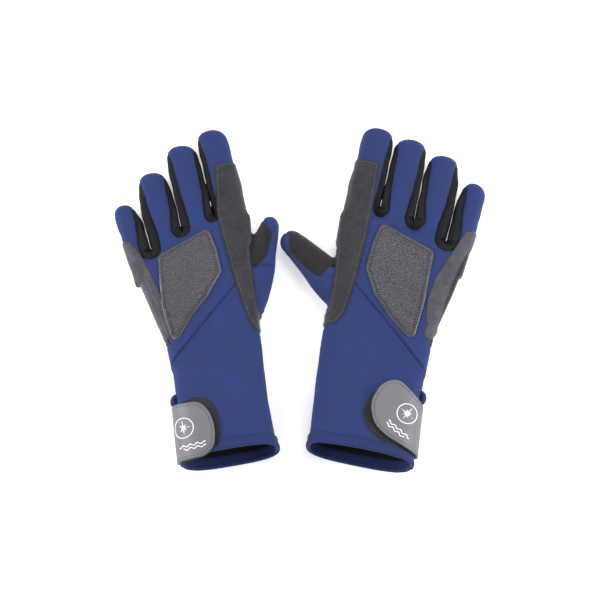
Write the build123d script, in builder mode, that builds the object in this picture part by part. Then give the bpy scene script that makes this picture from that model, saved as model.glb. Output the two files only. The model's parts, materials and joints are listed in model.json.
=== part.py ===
# A pair of full-finger neoprene sailing gloves, lying palm down, side by side.
# Millimetres. +X runs to the right-hand glove, +Y to the fingertips, +Z up from the surface.
#
# Each glove is drawn in its own plan: x runs across the hand from the thumb's side towards
# the little finger, y runs from the cuff's edge to the fingertips. One set of functions makes
# both hands, and the dictionary of each glove says how that glove lies.

from math import cos, radians, sin, tan
import os

from build123d import *

# Cloth and leather
shell_wall = 2.8  # neoprene of the hand, fingers and cuff
lining_wall = 0.8  # jersey lining inside the cuff
gusset_wall = 1.1  # stretch gusset behind the cuff's slit
patch_wall = 1.2  # suede and leather sewn on the outside
hem_wall = 1.0
hem_width = 8.0

# Hand and cuff
thumb_side = -49.0  # the straight edge that runs from the cuff up to the index finger
cuff_width = 100.0
cuff_depth = 46.0
wrist_width = 98.5
wrist_depth = 42.0
wrist_along = 62.0
heel_width = 105.0
heel_depth = 38.0
heel_along = 118.0
web_width = 116.0
web_depth = 34.0
web_along = 168.0
knuckle_depth = 30.0
seam_thumb_along = 124.0  # where the cuff's seam meets the thumb's side
seam_little_along = 94.0

# Fingers, from the index to the little finger
finger_names = ["index", "middle", "ring", "little"]
finger_widths = [33.0, 32.0, 31.5, 25.0]
finger_height = 25.0
tip_taper = 4.0  # how much narrower a finger is before its tip rounds over
tip_height = 21.5
tip_round = 6.4
finger_gap = 2.2
finger_inset = 1.8  # from the hand's side to the first and last finger
finger_bury = 14.0  # how far a finger's tube starts inside the hand
bend_ahead = 14.0  # the bend's axis, ahead of the knuckle line
side_band = 12.0  # height of the side strips between a finger's back and palm
thumb_width = 33.0
thumb_tip_width = 25.0
thumb_height = 26.0
bend_limit = 70.0
bend_gap = 0.4  # cut-back on each side of a bend
pair_gap = 121.0  # between the plan origins of the two gloves

# Strap
strap_width = 46.0
strap_wall = 2.0
hook_wall = 1.0
loop_wall = 1.2
hook_gap = 0.35
fold_height = 24.0
strap_along = 31.0  # the strap's middle, from the cuff's edge
strap_reach = 44.0  # from the fold to the free end, in plan
slit_length = 58.0
slit_mouth = 14.0
pull_size = (9.0, 11.0, 2.6)

corner_facets = 3
high = 90.0
low = -12.0
past = 8.0  # how far a cutting body runs past what it cuts

right_glove = dict(
    name="right", side=1, tilt=-8.0, spread=1.0, puff=1.0,
    knuckle_along=219.0, knuckle_turn=13.0,
    splay=[4.6, 3.8, 4.4, 11.0], reach=[86.0, 87.0, 83.0, 67.0],
    thumb_root=(-34.0, 150.0), thumb_turn=-55.5, thumb_bend=38.0, thumb_reach=79.0,
    strap_turn=24.0,
)
left_glove = dict(
    name="left", side=-1, tilt=8.0, spread=0.96, puff=1.03,
    knuckle_along=214.0, knuckle_turn=18.0,
    splay=[2.5, 2.0, 3.5, 9.0], reach=[86.0, 85.0, 72.0, 54.0],
    thumb_root=(-35.0, 138.0), thumb_turn=-20.0, thumb_bend=55.0, thumb_reach=86.0,
    strap_turn=4.0,
)


def glove_frame(glove):
    middle = glove["side"] * pair_gap / 2
    return Plane.XY.rotated((0, 0, glove["tilt"])).move(Location((middle, 0, 0)))


def at(glove, x, y, z=0.0):
    return glove_frame(glove).from_local_coords(Vector(glove["side"] * x, y, z))


def heading(glove, turn):
    """Direction in plan, turned from the fingertips' way towards the little finger."""
    frame = glove_frame(glove)
    return frame.x_dir * (glove["side"] * sin(radians(turn))) + frame.y_dir * cos(radians(turn))


def section_plane(glove, x, y, z, turn):
    normal = heading(glove, turn)
    return Plane(origin=at(glove, x, y, z), x_dir=normal.cross(Vector(0, 0, 1)), z_dir=normal)


def knuckle_line(glove):
    """Middle of the slanting front line in plan, its length, and the hand's depth there."""
    spread = glove["spread"]
    length = sum(finger_widths) * spread + 3 * finger_gap + 2 * finger_inset
    across = length * cos(radians(glove["knuckle_turn"]))
    return thumb_side * spread + across / 2, glove["knuckle_along"], length, knuckle_depth * glove["puff"]


def hand_stations(glove):
    """Plan x of the middle, y, width and depth of each section, cuff to knuckles."""
    x, y, knuckles, depth = knuckle_line(glove)
    across = 2 * (x - thumb_side * glove["spread"]) / glove["spread"]
    lift = sin(radians(glove["knuckle_turn"])) * knuckles / 2
    rows = [
        (-past, cuff_width, cuff_depth),
        (0.0, cuff_width, cuff_depth),
        (wrist_along, wrist_width, wrist_depth),
        (heel_along, heel_width, heel_depth),
        (web_along, web_width, web_depth),
        (y - lift, across, knuckle_depth),
        (y + lift + past, across, knuckle_depth),
    ]
    edge = thumb_side * glove["spread"]
    return [
        (edge + width * glove["spread"] / 2, along, width * glove["spread"], depth * glove["puff"])
        for along, width, depth in rows
    ]


def rounded_ring(plane, width, depth, radius):
    """Points round a rounded rectangle, each corner in a few straight facets."""
    points = []
    for quarter in range(4):
        side_x = 1 if quarter in (0, 3) else -1
        side_y = 1 if quarter in (0, 1) else -1
        for facet in range(corner_facets + 1):
            angle = radians(90 * (quarter + facet / corner_facets))
            points.append(plane.from_local_coords(Vector(
                side_x * (width / 2 - radius) + radius * cos(angle),
                side_y * (depth / 2 - radius) + radius * sin(angle),
            )))
    return points


def faceted_solid(rings):
    """A closed solid through rings of points, which all have as many points."""
    faces = [Face(Wire.make_polygon(rings[0])), Face(Wire.make_polygon(rings[-1]))]
    for near, far in zip(rings, rings[1:]):
        for i in range(len(near)):
            j = (i + 1) % len(near)
            faces.append(Face(Wire.make_polygon([near[i], near[j], far[j], far[i]])))
    solid = Solid(Shell(faces))
    return solid if solid.volume > 0 else -solid


def hand_body(glove, grow=0.0):
    """The closed outer form of the hand and cuff, grown or shrunk by grow."""
    rings = []
    for x, y, width, depth in hand_stations(glove):
        plane = section_plane(glove, x, y, patch_wall + depth / 2, 0.0)
        radius = 0.43 * depth + grow
        rings.append(rounded_ring(plane, width + 2 * grow, depth + 2 * grow, radius))
    x, y, knuckles, depth = knuckle_line(glove)
    slope = tan(radians(glove["knuckle_turn"]))
    front = y + grow / cos(radians(glove["knuckle_turn"]))
    with BuildPart() as body:
        add(faceted_solid(rings))
        add(plan_block(glove, [
            (x - high, front + high * slope), (x - high, -2 * high), (x + high, -2 * high),
            (x + high, front - high * slope),
        ]), mode=Mode.INTERSECT)
    return body.part


def digits(glove):
    """Where each finger and the thumb start, how they point, and their sizes."""
    x_mid, y_mid, knuckles, depth = knuckle_line(glove)
    turn = glove["knuckle_turn"]
    middle_height = patch_wall + depth / 2
    found = {}
    edge = finger_inset - knuckles / 2
    for name, width, splay, reach in zip(
        finger_names, finger_widths, glove["splay"], glove["reach"]
    ):
        width = width * glove["spread"]
        run = edge + width / 2
        edge += width + finger_gap
        found[name] = dict(
            root=(x_mid + run * cos(radians(turn)), y_mid - run * sin(radians(turn))),
            turn=splay, reach=reach, start=-finger_bury, bend=bend_ahead,
            width=width, tip_width=width - tip_taper, height=finger_height,
            middle=middle_height, room=finger_gap / 2 - 0.1,
        )
    found["thumb"] = dict(
        root=glove["thumb_root"], turn=glove["thumb_turn"], reach=glove["thumb_reach"],
        start=0.0, bend=glove["thumb_bend"],
        width=thumb_width, tip_width=thumb_tip_width, height=thumb_height,
        middle=patch_wall + 1.5 + thumb_height / 2, room=1.2,
    )
    return found


def digit_point(glove, digit, along):
    x, y = digit["root"]
    turn = radians(digit["turn"])
    share = (along - digit["start"]) / (digit["reach"] - digit["start"])
    tip_middle = patch_wall + 0.6 + tip_height / 2
    drop = (digit["middle"] - tip_middle) * max(share, 0.0)
    return x + along * sin(turn), y + along * cos(turn), digit["middle"] - drop


def digit_body(glove, digit, grow=0.0):
    """One finger's closed outer form, from inside the hand to its rounded tip."""
    tip = tip_round
    ends = [
        (digit["start"], digit["width"], digit["height"]),
        (digit["reach"] - tip, digit["tip_width"], tip_height),
        (digit["reach"] - 0.3 * tip, digit["tip_width"] - 0.6 * tip, tip_height - 0.6 * tip),
        (digit["reach"], digit["tip_width"] - 1.6 * tip, tip_height - 1.6 * tip),
    ]
    rings = []
    for along, width, height in ends:
        x, y, z = digit_point(glove, digit, along)
        ahead = 0.0 if along == digit["start"] else grow
        x_tip, y_tip, z_tip = digit_point(glove, digit, along + ahead)
        plane = section_plane(glove, x_tip, y_tip, z, digit["turn"])
        radius = 0.44 * min(width, height) + grow
        rings.append(rounded_ring(plane, width + 2 * grow, height + 2 * grow, radius))
    return faceted_solid(rings)


def bend_plane(glove, digit):
    """Origin on the bend's axis, x along the finger, y up."""
    ahead = heading(glove, digit["turn"])
    point = at(glove, *digit_point(glove, digit, digit["bend"]))
    return Plane(origin=point, x_dir=ahead, z_dir=ahead.cross(Vector(0, 0, 1)))


def bend_block(glove, digit, way, half_width):
    """What lies past a bend: way is 1 for the moving part's side of the cut, -1 for the hand's."""
    back = way * bend_gap
    relief = high * tan(radians(bend_limit / 2))
    far = digit["reach"] + past
    with BuildPart() as block:
        with BuildSketch(bend_plane(glove, digit)):
            with BuildLine():
                Polyline(
                    (back, high), (back, 0), (back + way * relief, -high),
                    (far + relief, -high), (far + relief, high), close=True,
                )
            make_face()
        extrude(amount=half_width, both=True)
    return block.part


def plan_block(glove, outline, bottom=low, top=high, corner=0.0):
    with BuildPart() as block:
        with BuildSketch(Plane.XY.offset(bottom)) as plan:
            with BuildLine():
                Polyline(*[(at(glove, x, y).X, at(glove, x, y).Y) for x, y in outline], close=True)
            make_face()
            if corner:
                fillet(plan.vertices(), radius=corner)
        extrude(amount=top - bottom)
    return block.part


def side_block(glove, outline, near):
    """A block seen from the little finger's side: outline is (y, z), from near outwards."""
    frame = glove_frame(glove)
    outward = frame.x_dir * glove["side"]
    with BuildPart() as block:
        with BuildSketch(Plane(origin=at(glove, near, 0), x_dir=frame.y_dir, z_dir=outward)) as face:
            up = 1 if face.workplanes[0].y_dir.Z > 0 else -1
            with BuildLine():
                Polyline(*[(y, up * z) for y, z in outline], close=True)
            make_face()
        extrude(amount=high)
    return block.part


pieces = {}


def keep_piece(glove, name, shape):
    label = glove["name"] + "_" + name
    shape.label = label
    pieces[label] = shape


def make_layer(glove, inside, outside, *within, without=()):
    """The layer of cloth between two grown forms of the hand, cut to the blocks given."""
    with BuildPart() as layer:
        add(hand_body(glove, outside))
        add(hand_body(glove, inside), mode=Mode.SUBTRACT)
        for block in within:
            add(block, mode=Mode.INTERSECT)
        for block in without:
            add(block, mode=Mode.SUBTRACT)
    return layer.part


def make_shells(glove):
    """Hand back, hand palm and cuff: the closed form less its cavity, cut at the bends."""
    found = digits(glove)
    split_height = patch_wall + knuckle_line(glove)[3] / 2
    left_seam = (thumb_side - 30, seam_thumb_along + 8)
    right_seam = (-thumb_side + 50, seam_little_along - 14)
    above_seam = [left_seam, right_seam, (140, 400), (-170, 400)]
    below_seam = [left_seam, right_seam, (140, 0), (-170, 0)]

    with BuildPart() as shell:
        add(hand_body(glove))
        for digit in found.values():
            add(digit_body(glove, digit))
        add(hand_body(glove, -shell_wall), mode=Mode.SUBTRACT)
        for digit in found.values():
            add(digit_body(glove, digit, -shell_wall), mode=Mode.SUBTRACT)
        for digit in found.values():
            half = digit["width"] / 2 + digit["room"]
            add(bend_block(glove, digit, -1, half), mode=Mode.SUBTRACT)

    with BuildPart() as hand_back:
        add(shell.part)
        add(plan_block(glove, above_seam, bottom=split_height), mode=Mode.INTERSECT)
    keep_piece(glove, "hand_back", hand_back.part)

    with BuildPart() as hand_palm:
        add(shell.part)
        add(plan_block(glove, above_seam, top=split_height), mode=Mode.INTERSECT)
    keep_piece(glove, "hand_palm", hand_palm.part)

    cuff_middle = patch_wall + cuff_depth * glove["puff"] / 2
    slit = [(-past, cuff_middle - slit_mouth / 2), (slit_length, cuff_middle),
            (-past, cuff_middle + slit_mouth / 2)]
    with BuildPart() as cuff:
        add(shell.part)
        add(plan_block(glove, below_seam), mode=Mode.INTERSECT)
        add(side_block(glove, slit, 0.0), mode=Mode.SUBTRACT)
    keep_piece(glove, "cuff", cuff.part)


def make_cuff_fittings(glove):
    """Hem, lining, gusset and pull loop."""
    cuff_middle = patch_wall + cuff_depth * glove["puff"] / 2
    wide = [(-170, 0), (140, 0), (140, hem_width), (-170, hem_width)]
    ring = [(-170, -hem_wall), (140, -hem_wall), (140, 0), (-170, 0)]
    with BuildPart() as cuff_hem:
        add(make_layer(glove, 0, hem_wall, plan_block(glove, wide)))
        add(make_layer(glove, -shell_wall, hem_wall, plan_block(glove, ring)))
    keep_piece(glove, "cuff_hem", cuff_hem.part)

    room = slit_mouth / 2 + 4.0
    gusset = [(1.0, cuff_middle - room), (slit_length + 6, cuff_middle - 3),
              (slit_length + 6, cuff_middle + 3), (1.0, cuff_middle + room)]
    inner = -shell_wall - gusset_wall
    keep_piece(glove, "cuff_gusset",
               make_layer(glove, inner, -shell_wall, side_block(glove, gusset, 0.0)))

    clear = 0.4
    opening = [(0.0, cuff_middle - room - clear), (slit_length + 6 + clear, cuff_middle - 3 - clear),
               (slit_length + 6 + clear, cuff_middle + 3 + clear), (0.0, cuff_middle + room + clear)]
    sleeve = [(-170, 3.0), (140, 3.0), (140, 84.0), (-170, 84.0)]
    keep_piece(glove, "lining", make_layer(
        glove, -shell_wall - lining_wall, -shell_wall, plan_block(glove, sleeve),
        without=[side_block(glove, opening, 0.0)],
    ))

    reach, width, thick = pull_size
    x_side = thumb_side * glove["spread"] + wrist_width * glove["spread"]
    pull_along = slit_length + 12.0
    tab = [(x_side - 6, pull_along - width / 2), (x_side + reach, pull_along - width / 2),
           (x_side + reach, pull_along + width / 2), (x_side - 6, pull_along + width / 2)]
    with BuildPart() as pull_loop:
        add(plan_block(glove, tab, cuff_middle - thick / 2, cuff_middle + thick / 2, corner=2.0))
        add(hand_body(glove), mode=Mode.SUBTRACT)
    keep_piece(glove, "pull_loop", pull_loop.part)


def make_patches(glove):
    """Knuckle patch, side guards and palm patch, sewn on the outside."""
    found = digits(glove)
    spread = glove["spread"]
    knuckles = glove["knuckle_along"]
    slope = tan(radians(glove["knuckle_turn"]))
    x_mid = knuckle_line(glove)[0]
    digit_forms = [digit_body(glove, digit) for digit in found.values()]

    def below(x, down):
        return x * spread, knuckles - (x * spread - x_mid) * slope - down

    kite = [below(-10, 5), below(44, 5), below(38, 58), below(33, 99), below(8, 83), below(-18, 46)]
    with BuildPart() as knuckle_patch:
        add(make_layer(glove, 0, patch_wall,
                       plan_block(glove, kite, bottom=patch_wall + 20, corner=3.0)))
    keep_piece(glove, "knuckle_patch", knuckle_patch.part)

    inner = [(-90, knuckles - 104), below(-46, 112), below(-33, 92), below(-26, 56), below(-19, 2)]
    outer = [(-19 * spread, knuckles + 40), (-90, knuckles + 40)]
    index_guard = plan_block(glove, inner + outer, bottom=patch_wall + 17)
    index = found["index"]
    with BuildPart() as index_guard_hand:
        add(make_layer(glove, 0, patch_wall, index_guard, without=digit_forms))
    keep_piece(glove, "index_guard_hand", index_guard_hand.part)

    x, y = index["root"]
    strip = [(x - 40, y - 20), (x + 7, y - 20), (x + 9, y + 34), (x - 2, y + 46), (x - 40, y + 46)]
    with BuildPart() as index_guard_finger:
        add(digit_body(glove, index, patch_wall))
        add(digit_body(glove, index), mode=Mode.SUBTRACT)
        add(plan_block(glove, strip, bottom=index["middle"] + 1.0), mode=Mode.INTERSECT)
        add(bend_block(glove, index, 1, 60), mode=Mode.INTERSECT)
    keep_piece(glove, "index_guard_finger", index_guard_finger.part)

    edge = [below(58, 2), below(46, 36), below(42, 66), below(47, 92), (120, knuckles - 118)]
    little_guard = plan_block(glove, edge + [(120, knuckles + 20)], bottom=patch_wall + 9)
    keep_piece(glove, "little_guard", make_layer(
        glove, 0, patch_wall, little_guard, without=digit_forms,
    ))

    sole = [(-34 * spread, 196), (62 * spread, 186), (52 * spread, 112), (34 * spread, 70),
            (-22 * spread, 70), (-34 * spread, 112)]
    with BuildPart() as palm_patch:
        add(plan_block(glove, sole, 0.0, patch_wall, corner=8.0))
    keep_piece(glove, "palm_patch", palm_patch.part)


def make_digits(glove):
    """Each finger in three panels, and the thumb in two, past its bend."""
    wide = [(-300, -50), (300, -50), (300, 500), (-300, 500)]
    for name, digit in digits(glove).items():
        with BuildPart() as tube:
            add(digit_body(glove, digit))
            add(digit_body(glove, digit, -shell_wall), mode=Mode.SUBTRACT)
            add(bend_block(glove, digit, 1, 60), mode=Mode.INTERSECT)
        level = digit_point(glove, digit, digit["bend"])[2]
        half = side_band / 2 if name != "thumb" else 0.0
        with BuildPart() as back:
            add(tube.part)
            add(plan_block(glove, wide, bottom=level + half), mode=Mode.INTERSECT)
        keep_piece(glove, name + "_back", back.part)
        with BuildPart() as palm:
            add(tube.part)
            add(plan_block(glove, wide, top=level - half), mode=Mode.INTERSECT)
        keep_piece(glove, name + "_palm", palm.part)
        if half:
            with BuildPart() as sides:
                add(tube.part)
                add(plan_block(glove, wide, level - half, level + half), mode=Mode.INTERSECT)
            keep_piece(glove, name + "_sides", sides.part)


def make_strap(glove):
    """The wrist strap: a base sewn round the cuff's edge, a tab that folds over the back of
    the cuff, hook tape under the tab and a loop pad on the cuff."""
    x_fold = thumb_side * glove["spread"] + cuff_width * glove["spread"]
    turn = radians(glove["strap_turn"])
    half = strap_width / 2

    def strap_point(out, across):
        return (x_fold - out * cos(turn) - across * sin(turn),
                strap_along + out * sin(turn) - across * cos(turn))

    def strap_outline(near, reach, half):
        return [strap_point(near, half), strap_point(reach, half),
                strap_point(reach, -half), strap_point(near, -half)]

    hook_in = loop_wall + hook_gap
    tab_in = hook_in + hook_wall
    tab_out = tab_in + strap_wall
    fold_room = 0.3

    loop_outline = strap_outline(26.0, strap_reach + 6, half - 4)
    keep_piece(glove, "loop_pad", make_layer(
        glove, 0, loop_wall, plan_block(glove, loop_outline, bottom=fold_height, corner=3.0)))

    hook_outline = strap_outline(24.0, strap_reach - 1, half - 3)
    keep_piece(glove, "hook_tape", make_layer(
        glove, hook_in, tab_in, plan_block(glove, hook_outline, bottom=fold_height, corner=3.0)))

    tab_outline = strap_outline(-14.0, strap_reach, half)
    keep_piece(glove, "strap_tab", make_layer(
        glove, tab_in, tab_out,
        plan_block(glove, tab_outline, bottom=fold_height + fold_room, corner=8.0)))

    base = [(x_fold - 26, strap_along - half + 2), (x_fold + 20, strap_along - half + 2),
            (x_fold + 20, strap_along + half - 2), (x_fold - 26, strap_along + half - 2)]
    keep_piece(glove, "strap_base", make_layer(
        glove, 0, tab_out, plan_block(glove, base, patch_wall + 1.0, fold_height - fold_room)))


for glove in (left_glove, right_glove):
    make_shells(glove)
    make_cuff_fittings(glove)
    make_patches(glove)
    make_digits(glove)
    make_strap(glove)

# The pair's box is centred over the origin
box = Compound(children=[Part(shape.wrapped) for shape in pieces.values()]).bounding_box()
centring = Location((-(box.min.X + box.max.X) / 2, -(box.min.Y + box.max.Y) / 2, 0))

os.makedirs("parts", exist_ok=True)
for label, shape in pieces.items():
    placed = shape.moved(centring)
    placed.label = label
    export_step(placed, "parts/" + label + ".step")
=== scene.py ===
# Sailing gloves: a left and a right neoprene glove lying palm down, backs up.
# Shapes are worked out in millimetres in each glove's own plan: x towards the little
# finger, y towards the fingertips, z up. They become metres when a piece is made.
import bpy
import json
import math
import numpy as np
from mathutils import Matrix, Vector
from mathutils.bvhtree import BVHTree


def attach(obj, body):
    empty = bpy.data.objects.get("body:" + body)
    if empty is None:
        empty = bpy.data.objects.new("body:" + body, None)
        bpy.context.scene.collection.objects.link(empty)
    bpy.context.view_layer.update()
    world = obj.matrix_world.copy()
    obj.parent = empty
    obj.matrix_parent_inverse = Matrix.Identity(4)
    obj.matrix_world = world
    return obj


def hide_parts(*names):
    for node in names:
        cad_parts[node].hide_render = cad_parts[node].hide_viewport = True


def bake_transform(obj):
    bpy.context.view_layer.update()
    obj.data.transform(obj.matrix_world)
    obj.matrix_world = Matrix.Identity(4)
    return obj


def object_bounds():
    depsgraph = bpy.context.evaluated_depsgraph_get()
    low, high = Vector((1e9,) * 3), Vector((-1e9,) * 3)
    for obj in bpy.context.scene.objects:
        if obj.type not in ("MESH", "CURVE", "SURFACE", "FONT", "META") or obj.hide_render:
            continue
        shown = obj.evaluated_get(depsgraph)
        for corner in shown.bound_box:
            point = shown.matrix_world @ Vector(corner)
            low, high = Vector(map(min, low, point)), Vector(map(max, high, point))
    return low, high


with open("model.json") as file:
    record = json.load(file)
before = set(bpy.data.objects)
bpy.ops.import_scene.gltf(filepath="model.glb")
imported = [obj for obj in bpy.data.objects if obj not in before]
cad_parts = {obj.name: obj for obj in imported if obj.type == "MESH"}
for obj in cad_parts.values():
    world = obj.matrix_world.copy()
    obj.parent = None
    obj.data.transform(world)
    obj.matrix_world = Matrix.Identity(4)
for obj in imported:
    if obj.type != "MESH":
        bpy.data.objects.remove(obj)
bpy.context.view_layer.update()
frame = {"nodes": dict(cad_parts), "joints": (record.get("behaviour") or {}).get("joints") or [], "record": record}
scene = bpy.context.scene
jointList = {j["name"]: j for j in frame["joints"]}
mountList = {m["name"]: m for m in frame["record"]["mounts"]}
fingerNames = ["index", "middle", "ring", "little"]
digitNames = fingerNames + ["thumb"]
print("frame loaded")

# how each glove lies
commonShape = dict(
    voxel=1.3, smoothing=5, wall=1.5, rootToBend=14.0, blendHalf=11.0,
    fingerPower=2.45, handPower=2.9, bury=26.0,
)
gloveShapes = dict(
    right=dict(
        sign=1, spread=1.0,
        # along, thumb side, little side, depth
        stations=[(-24, -50.5, 47, 45), (0, -50.5, 47.5, 45.5), (30, -50, 47, 44), (62, -50.5, 47, 41.5),
                  (90, -50.5, 49, 39.5), (118, -50, 53, 37.5), (145, -49.5, 60, 36), (168, -49, 66.5, 35)],
        patch=[(-10, 219), (42, 198), (39, 150), (33, 109), (10, 128), (-8, 149), (-19, 173), (-16, 197)],
        guardInner=[(-21, 229), (-22, 203), (-26, 166), (-30, 141), (-33, 127), (-40, 117), (-54, 114)],
        guardLat=8.0, guardDown=37.0,
        littleGuard=[(84, 226), (69, 222), (57, 196), (46, 172), (41, 150), (42, 134), (49, 113), (52, 118),
                     (55.5, 132), (58.5, 150), (62, 166), (67, 184), (72, 199), (82, 214)],
        littleGuardFloor=17.0, mouthSlant=(-0.06, 0.24, 5.5), strapTurn=-33.0,
        ulnarLine=[(48, 108), (51, 118), (54, 132), (57, 150), (60, 166), (65, 184), (70, 197)],
        uBottoms=[(-13, 227), (20, 219), (50, 201)], bows=dict(index=1.0, middle=0.4, ring=-0.6, little=-4.2),
        stripBase=[4.2, 7.0, 8.5, 9.0], stripTop=[3.2, 3.4, 3.6, 4.6],
        tab=[(60, 51), (50, 52), (24, 72), (10, 66), (1, 46), (7, 27), (18, 18), (50, 5), (60, 4)],
        pad=[(50, 48), (20, 68), (4, 60), (-5, 41), (2, 22), (16, 13), (50, 4)],
        star=(35, 41), wave=(29, 25), loopAt=60.0,
    ),
    left=dict(
        sign=-1, spread=0.92,
        stations=[(-24, -45, 44, 46), (0, -45, 44.5, 46.5), (30, -43.5, 44, 45), (62, -41.5, 43, 42.5),
                  (90, -41, 43, 40.5), (118, -42.5, 46.5, 38.5), (145, -43.5, 54.5, 37), (168, -43, 60.5, 36)],
        patch=[(-8, 214), (42, 194), (44, 145), (37, 106), (18, 131), (1, 148), (-15, 170), (-13, 192)],
        guardInner=[(-18, 230), (-19, 208), (-24, 170), (-29, 142), (-33, 122), (-38, 111), (-52, 108)],
        guardLat=6.5, guardDown=38.0,
        littleGuard=[(84, 214), (66, 212), (61, 194), (53, 168), (47, 150), (43, 134), (42, 113), (46, 121),
                     (50, 140), (54, 156), (58.5, 170), (64, 186), (69, 198), (80, 206)],
        littleGuardFloor=17.0, mouthSlant=(-0.03, 0.23, 5.5), strapTurn=-3.0,
        ulnarLine=[(40, 108), (44, 121), (48, 140), (52, 156), (56, 170), (62, 186), (66, 195)],
        uBottoms=[(-6, 221), (24, 210), (50, 192)], bows=dict(index=5.5, middle=5.0, ring=3.2, little=1.6),
        stripBase=[3.6, 6.5, 7.5, 8.0], stripTop=[3.0, 3.2, 3.2, 4.0],
        tab=[(56, 51), (44, 51), (20, 50), (12, 39), (9, 23), (12, 7), (21, 0), (44, -1.5), (56, -1.5)],
        pad=[(46, 52), (18, 56), (7, 45), (4, 26), (8, 6), (20, 2), (46, 2)],
        star=(37, 28), wave=(31, 11), loopAt=56.0,
    ),
)


def smooth(value, low, high):
    share = np.clip((value - low) / (high - low), 0, 1)
    return share * share * (3 - 2 * share)


# holds one glove's own plan, its fingers' axes and its panel fields
class Glove:
    def __init__(self, side):
        self.side = side
        self.shape = gloveShapes[side]
        entry = mountList[side + "_hand_entry"]
        self.along = -np.array(entry["axis"], float)
        self.across = np.cross(self.along, (0, 0, 1)) * self.shape["sign"]
        self.origin = np.array(entry["pos_m"], float) * 1000
        self.origin[2] = 0
        self.origin += self.along * 1.0 - self.across * 1.0 * self.shape["spread"]
        self.digits = {}
        for name in digitNames:
            joint = jointList[f"{side}_{name}_bend"]
            pivot = self.local(np.array(joint["pos_m"], float)[None] * 1000)[0]
            worldAxis = np.array(joint["axis"], float)
            worldWay = np.cross(worldAxis, (0, 0, 1))
            way = np.array([worldWay @ self.across, worldWay @ self.along])
            own = [f"{side}_{name}_{part}" for part in ("palm", "back", "sides")]
            corners = np.concatenate([[v.co for v in frame["nodes"][n].data.vertices] for n in own
                                      if n in frame["nodes"]]) * 1000
            flat = self.local(corners) - pivot
            reach = (flat[:, :2] @ way).max()
            lateral = flat[:, :2] @ np.array([way[1], -way[0]])
            self.digits[name] = dict(
                pivot=pivot, way=way, reach=reach, half=np.abs(lateral).max() - 0.3,
                bow=self.shape["bows"].get(name, 0.0), side=np.array([way[1], -way[0]]), worldWay=worldWay,
            )
        self.crotches, self.crotchWays = [], []
        for k in range(3):
            a, b = self.digits[fingerNames[k]], self.digits[fingerNames[k + 1]]
            way = a["way"] + b["way"]
            way /= np.linalg.norm(way)
            across = np.array([way[1], -way[0]])
            bottom = np.array(self.shape["uBottoms"][k], float)
            radius = 6.0
            for step in range(4):
                centre = bottom + way * radius
                toOne = (centre - a["pivot"][:2]) @ a["side"] - a["half"] + self.shape["stripBase"][k]
                toTwo = -(centre - b["pivot"][:2]) @ b["side"] - b["half"] + self.shape["stripBase"][k + 1]
                radius = (toOne + toTwo) / 2
                bottom = bottom - across * (toOne - toTwo) / 2
            self.crotches.append((centre, radius))
            self.crotchWays.append(way)

    def local(self, points):
        offset = points - self.origin
        return np.stack([offset @ self.across, offset @ self.along, offset[:, 2]], 1)

    def world(self, points):
        return (self.origin + points[:, :1] * self.across + points[:, 1:2] * self.along
                + points[:, 2:] * np.array([0, 0, 1.0]))

    # distance along the digit from its root, across it, and height over its axis
    def digitCoordinates(self, name, points):
        digit = self.digits[name]
        flat = points[:, :2] - digit["pivot"][:2]
        along = flat @ digit["way"] + commonShape["rootToBend"]
        across = flat @ digit["side"] - self.bowAt(name, along)
        return along, across, points[:, 2] - self.axisHeight(name, along)

    # plan directions to world directions
    def direction(self, normals):
        return self.world(normals) - self.world(np.zeros((1, 3)))

    # how far the digit's middle is bowed to the side
    def bowAt(self, name, along):
        digit = self.digits[name]
        share = np.clip(along / (digit["reach"] + commonShape["rootToBend"]), 0, 1.1)
        return digit["bow"] * share * (0.35 + 0.65 * share)

    def axisHeight(self, name, along):
        digit = self.digits[name]
        length = digit["reach"] + commonShape["rootToBend"]
        share = np.clip(along / length, 0, 1)
        start = digit["pivot"][2] + 0.4
        return start + (12.2 - start) * share + 2.2 * np.sin(np.pi * share)


# closed forms of the hand and the digits
def ringPoints(centre, sideWay, halfWidth, halfHeight, power, count=48):
    angles = np.arange(count) * 2 * np.pi / count
    c, s = np.cos(angles), np.sin(angles)
    a = np.sign(c) * np.abs(c) ** (2 / power) * halfWidth
    b = np.sign(s) * np.abs(s) ** (2 / power) * halfHeight
    return np.stack([centre[0] + a * sideWay[0], centre[1] + a * sideWay[1], centre[2] + b], 1)


# quads between rings that follow one another
def ringFaces(rings, count, closed=False):
    total = rings * count
    return [(k * count + i, k * count + (i + 1) % count,
             ((k + 1) * count + (i + 1) % count) % total, ((k + 1) * count + i) % total)
            for k in range(rings if closed else rings - 1) for i in range(count)]


def tubeMesh(rings):
    count = len(rings[0])
    points = np.concatenate(rings + [rings[0].mean(0)[None], rings[-1].mean(0)[None]])
    faces = ringFaces(len(rings), count)
    first, last = len(rings) * count, len(rings) * count + 1
    for i in range(count):
        j = (i + 1) % count
        faces.append((first, j, i))
        faces.append((last, (len(rings) - 1) * count + i, (len(rings) - 1) * count + j))
    return points, faces


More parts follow.
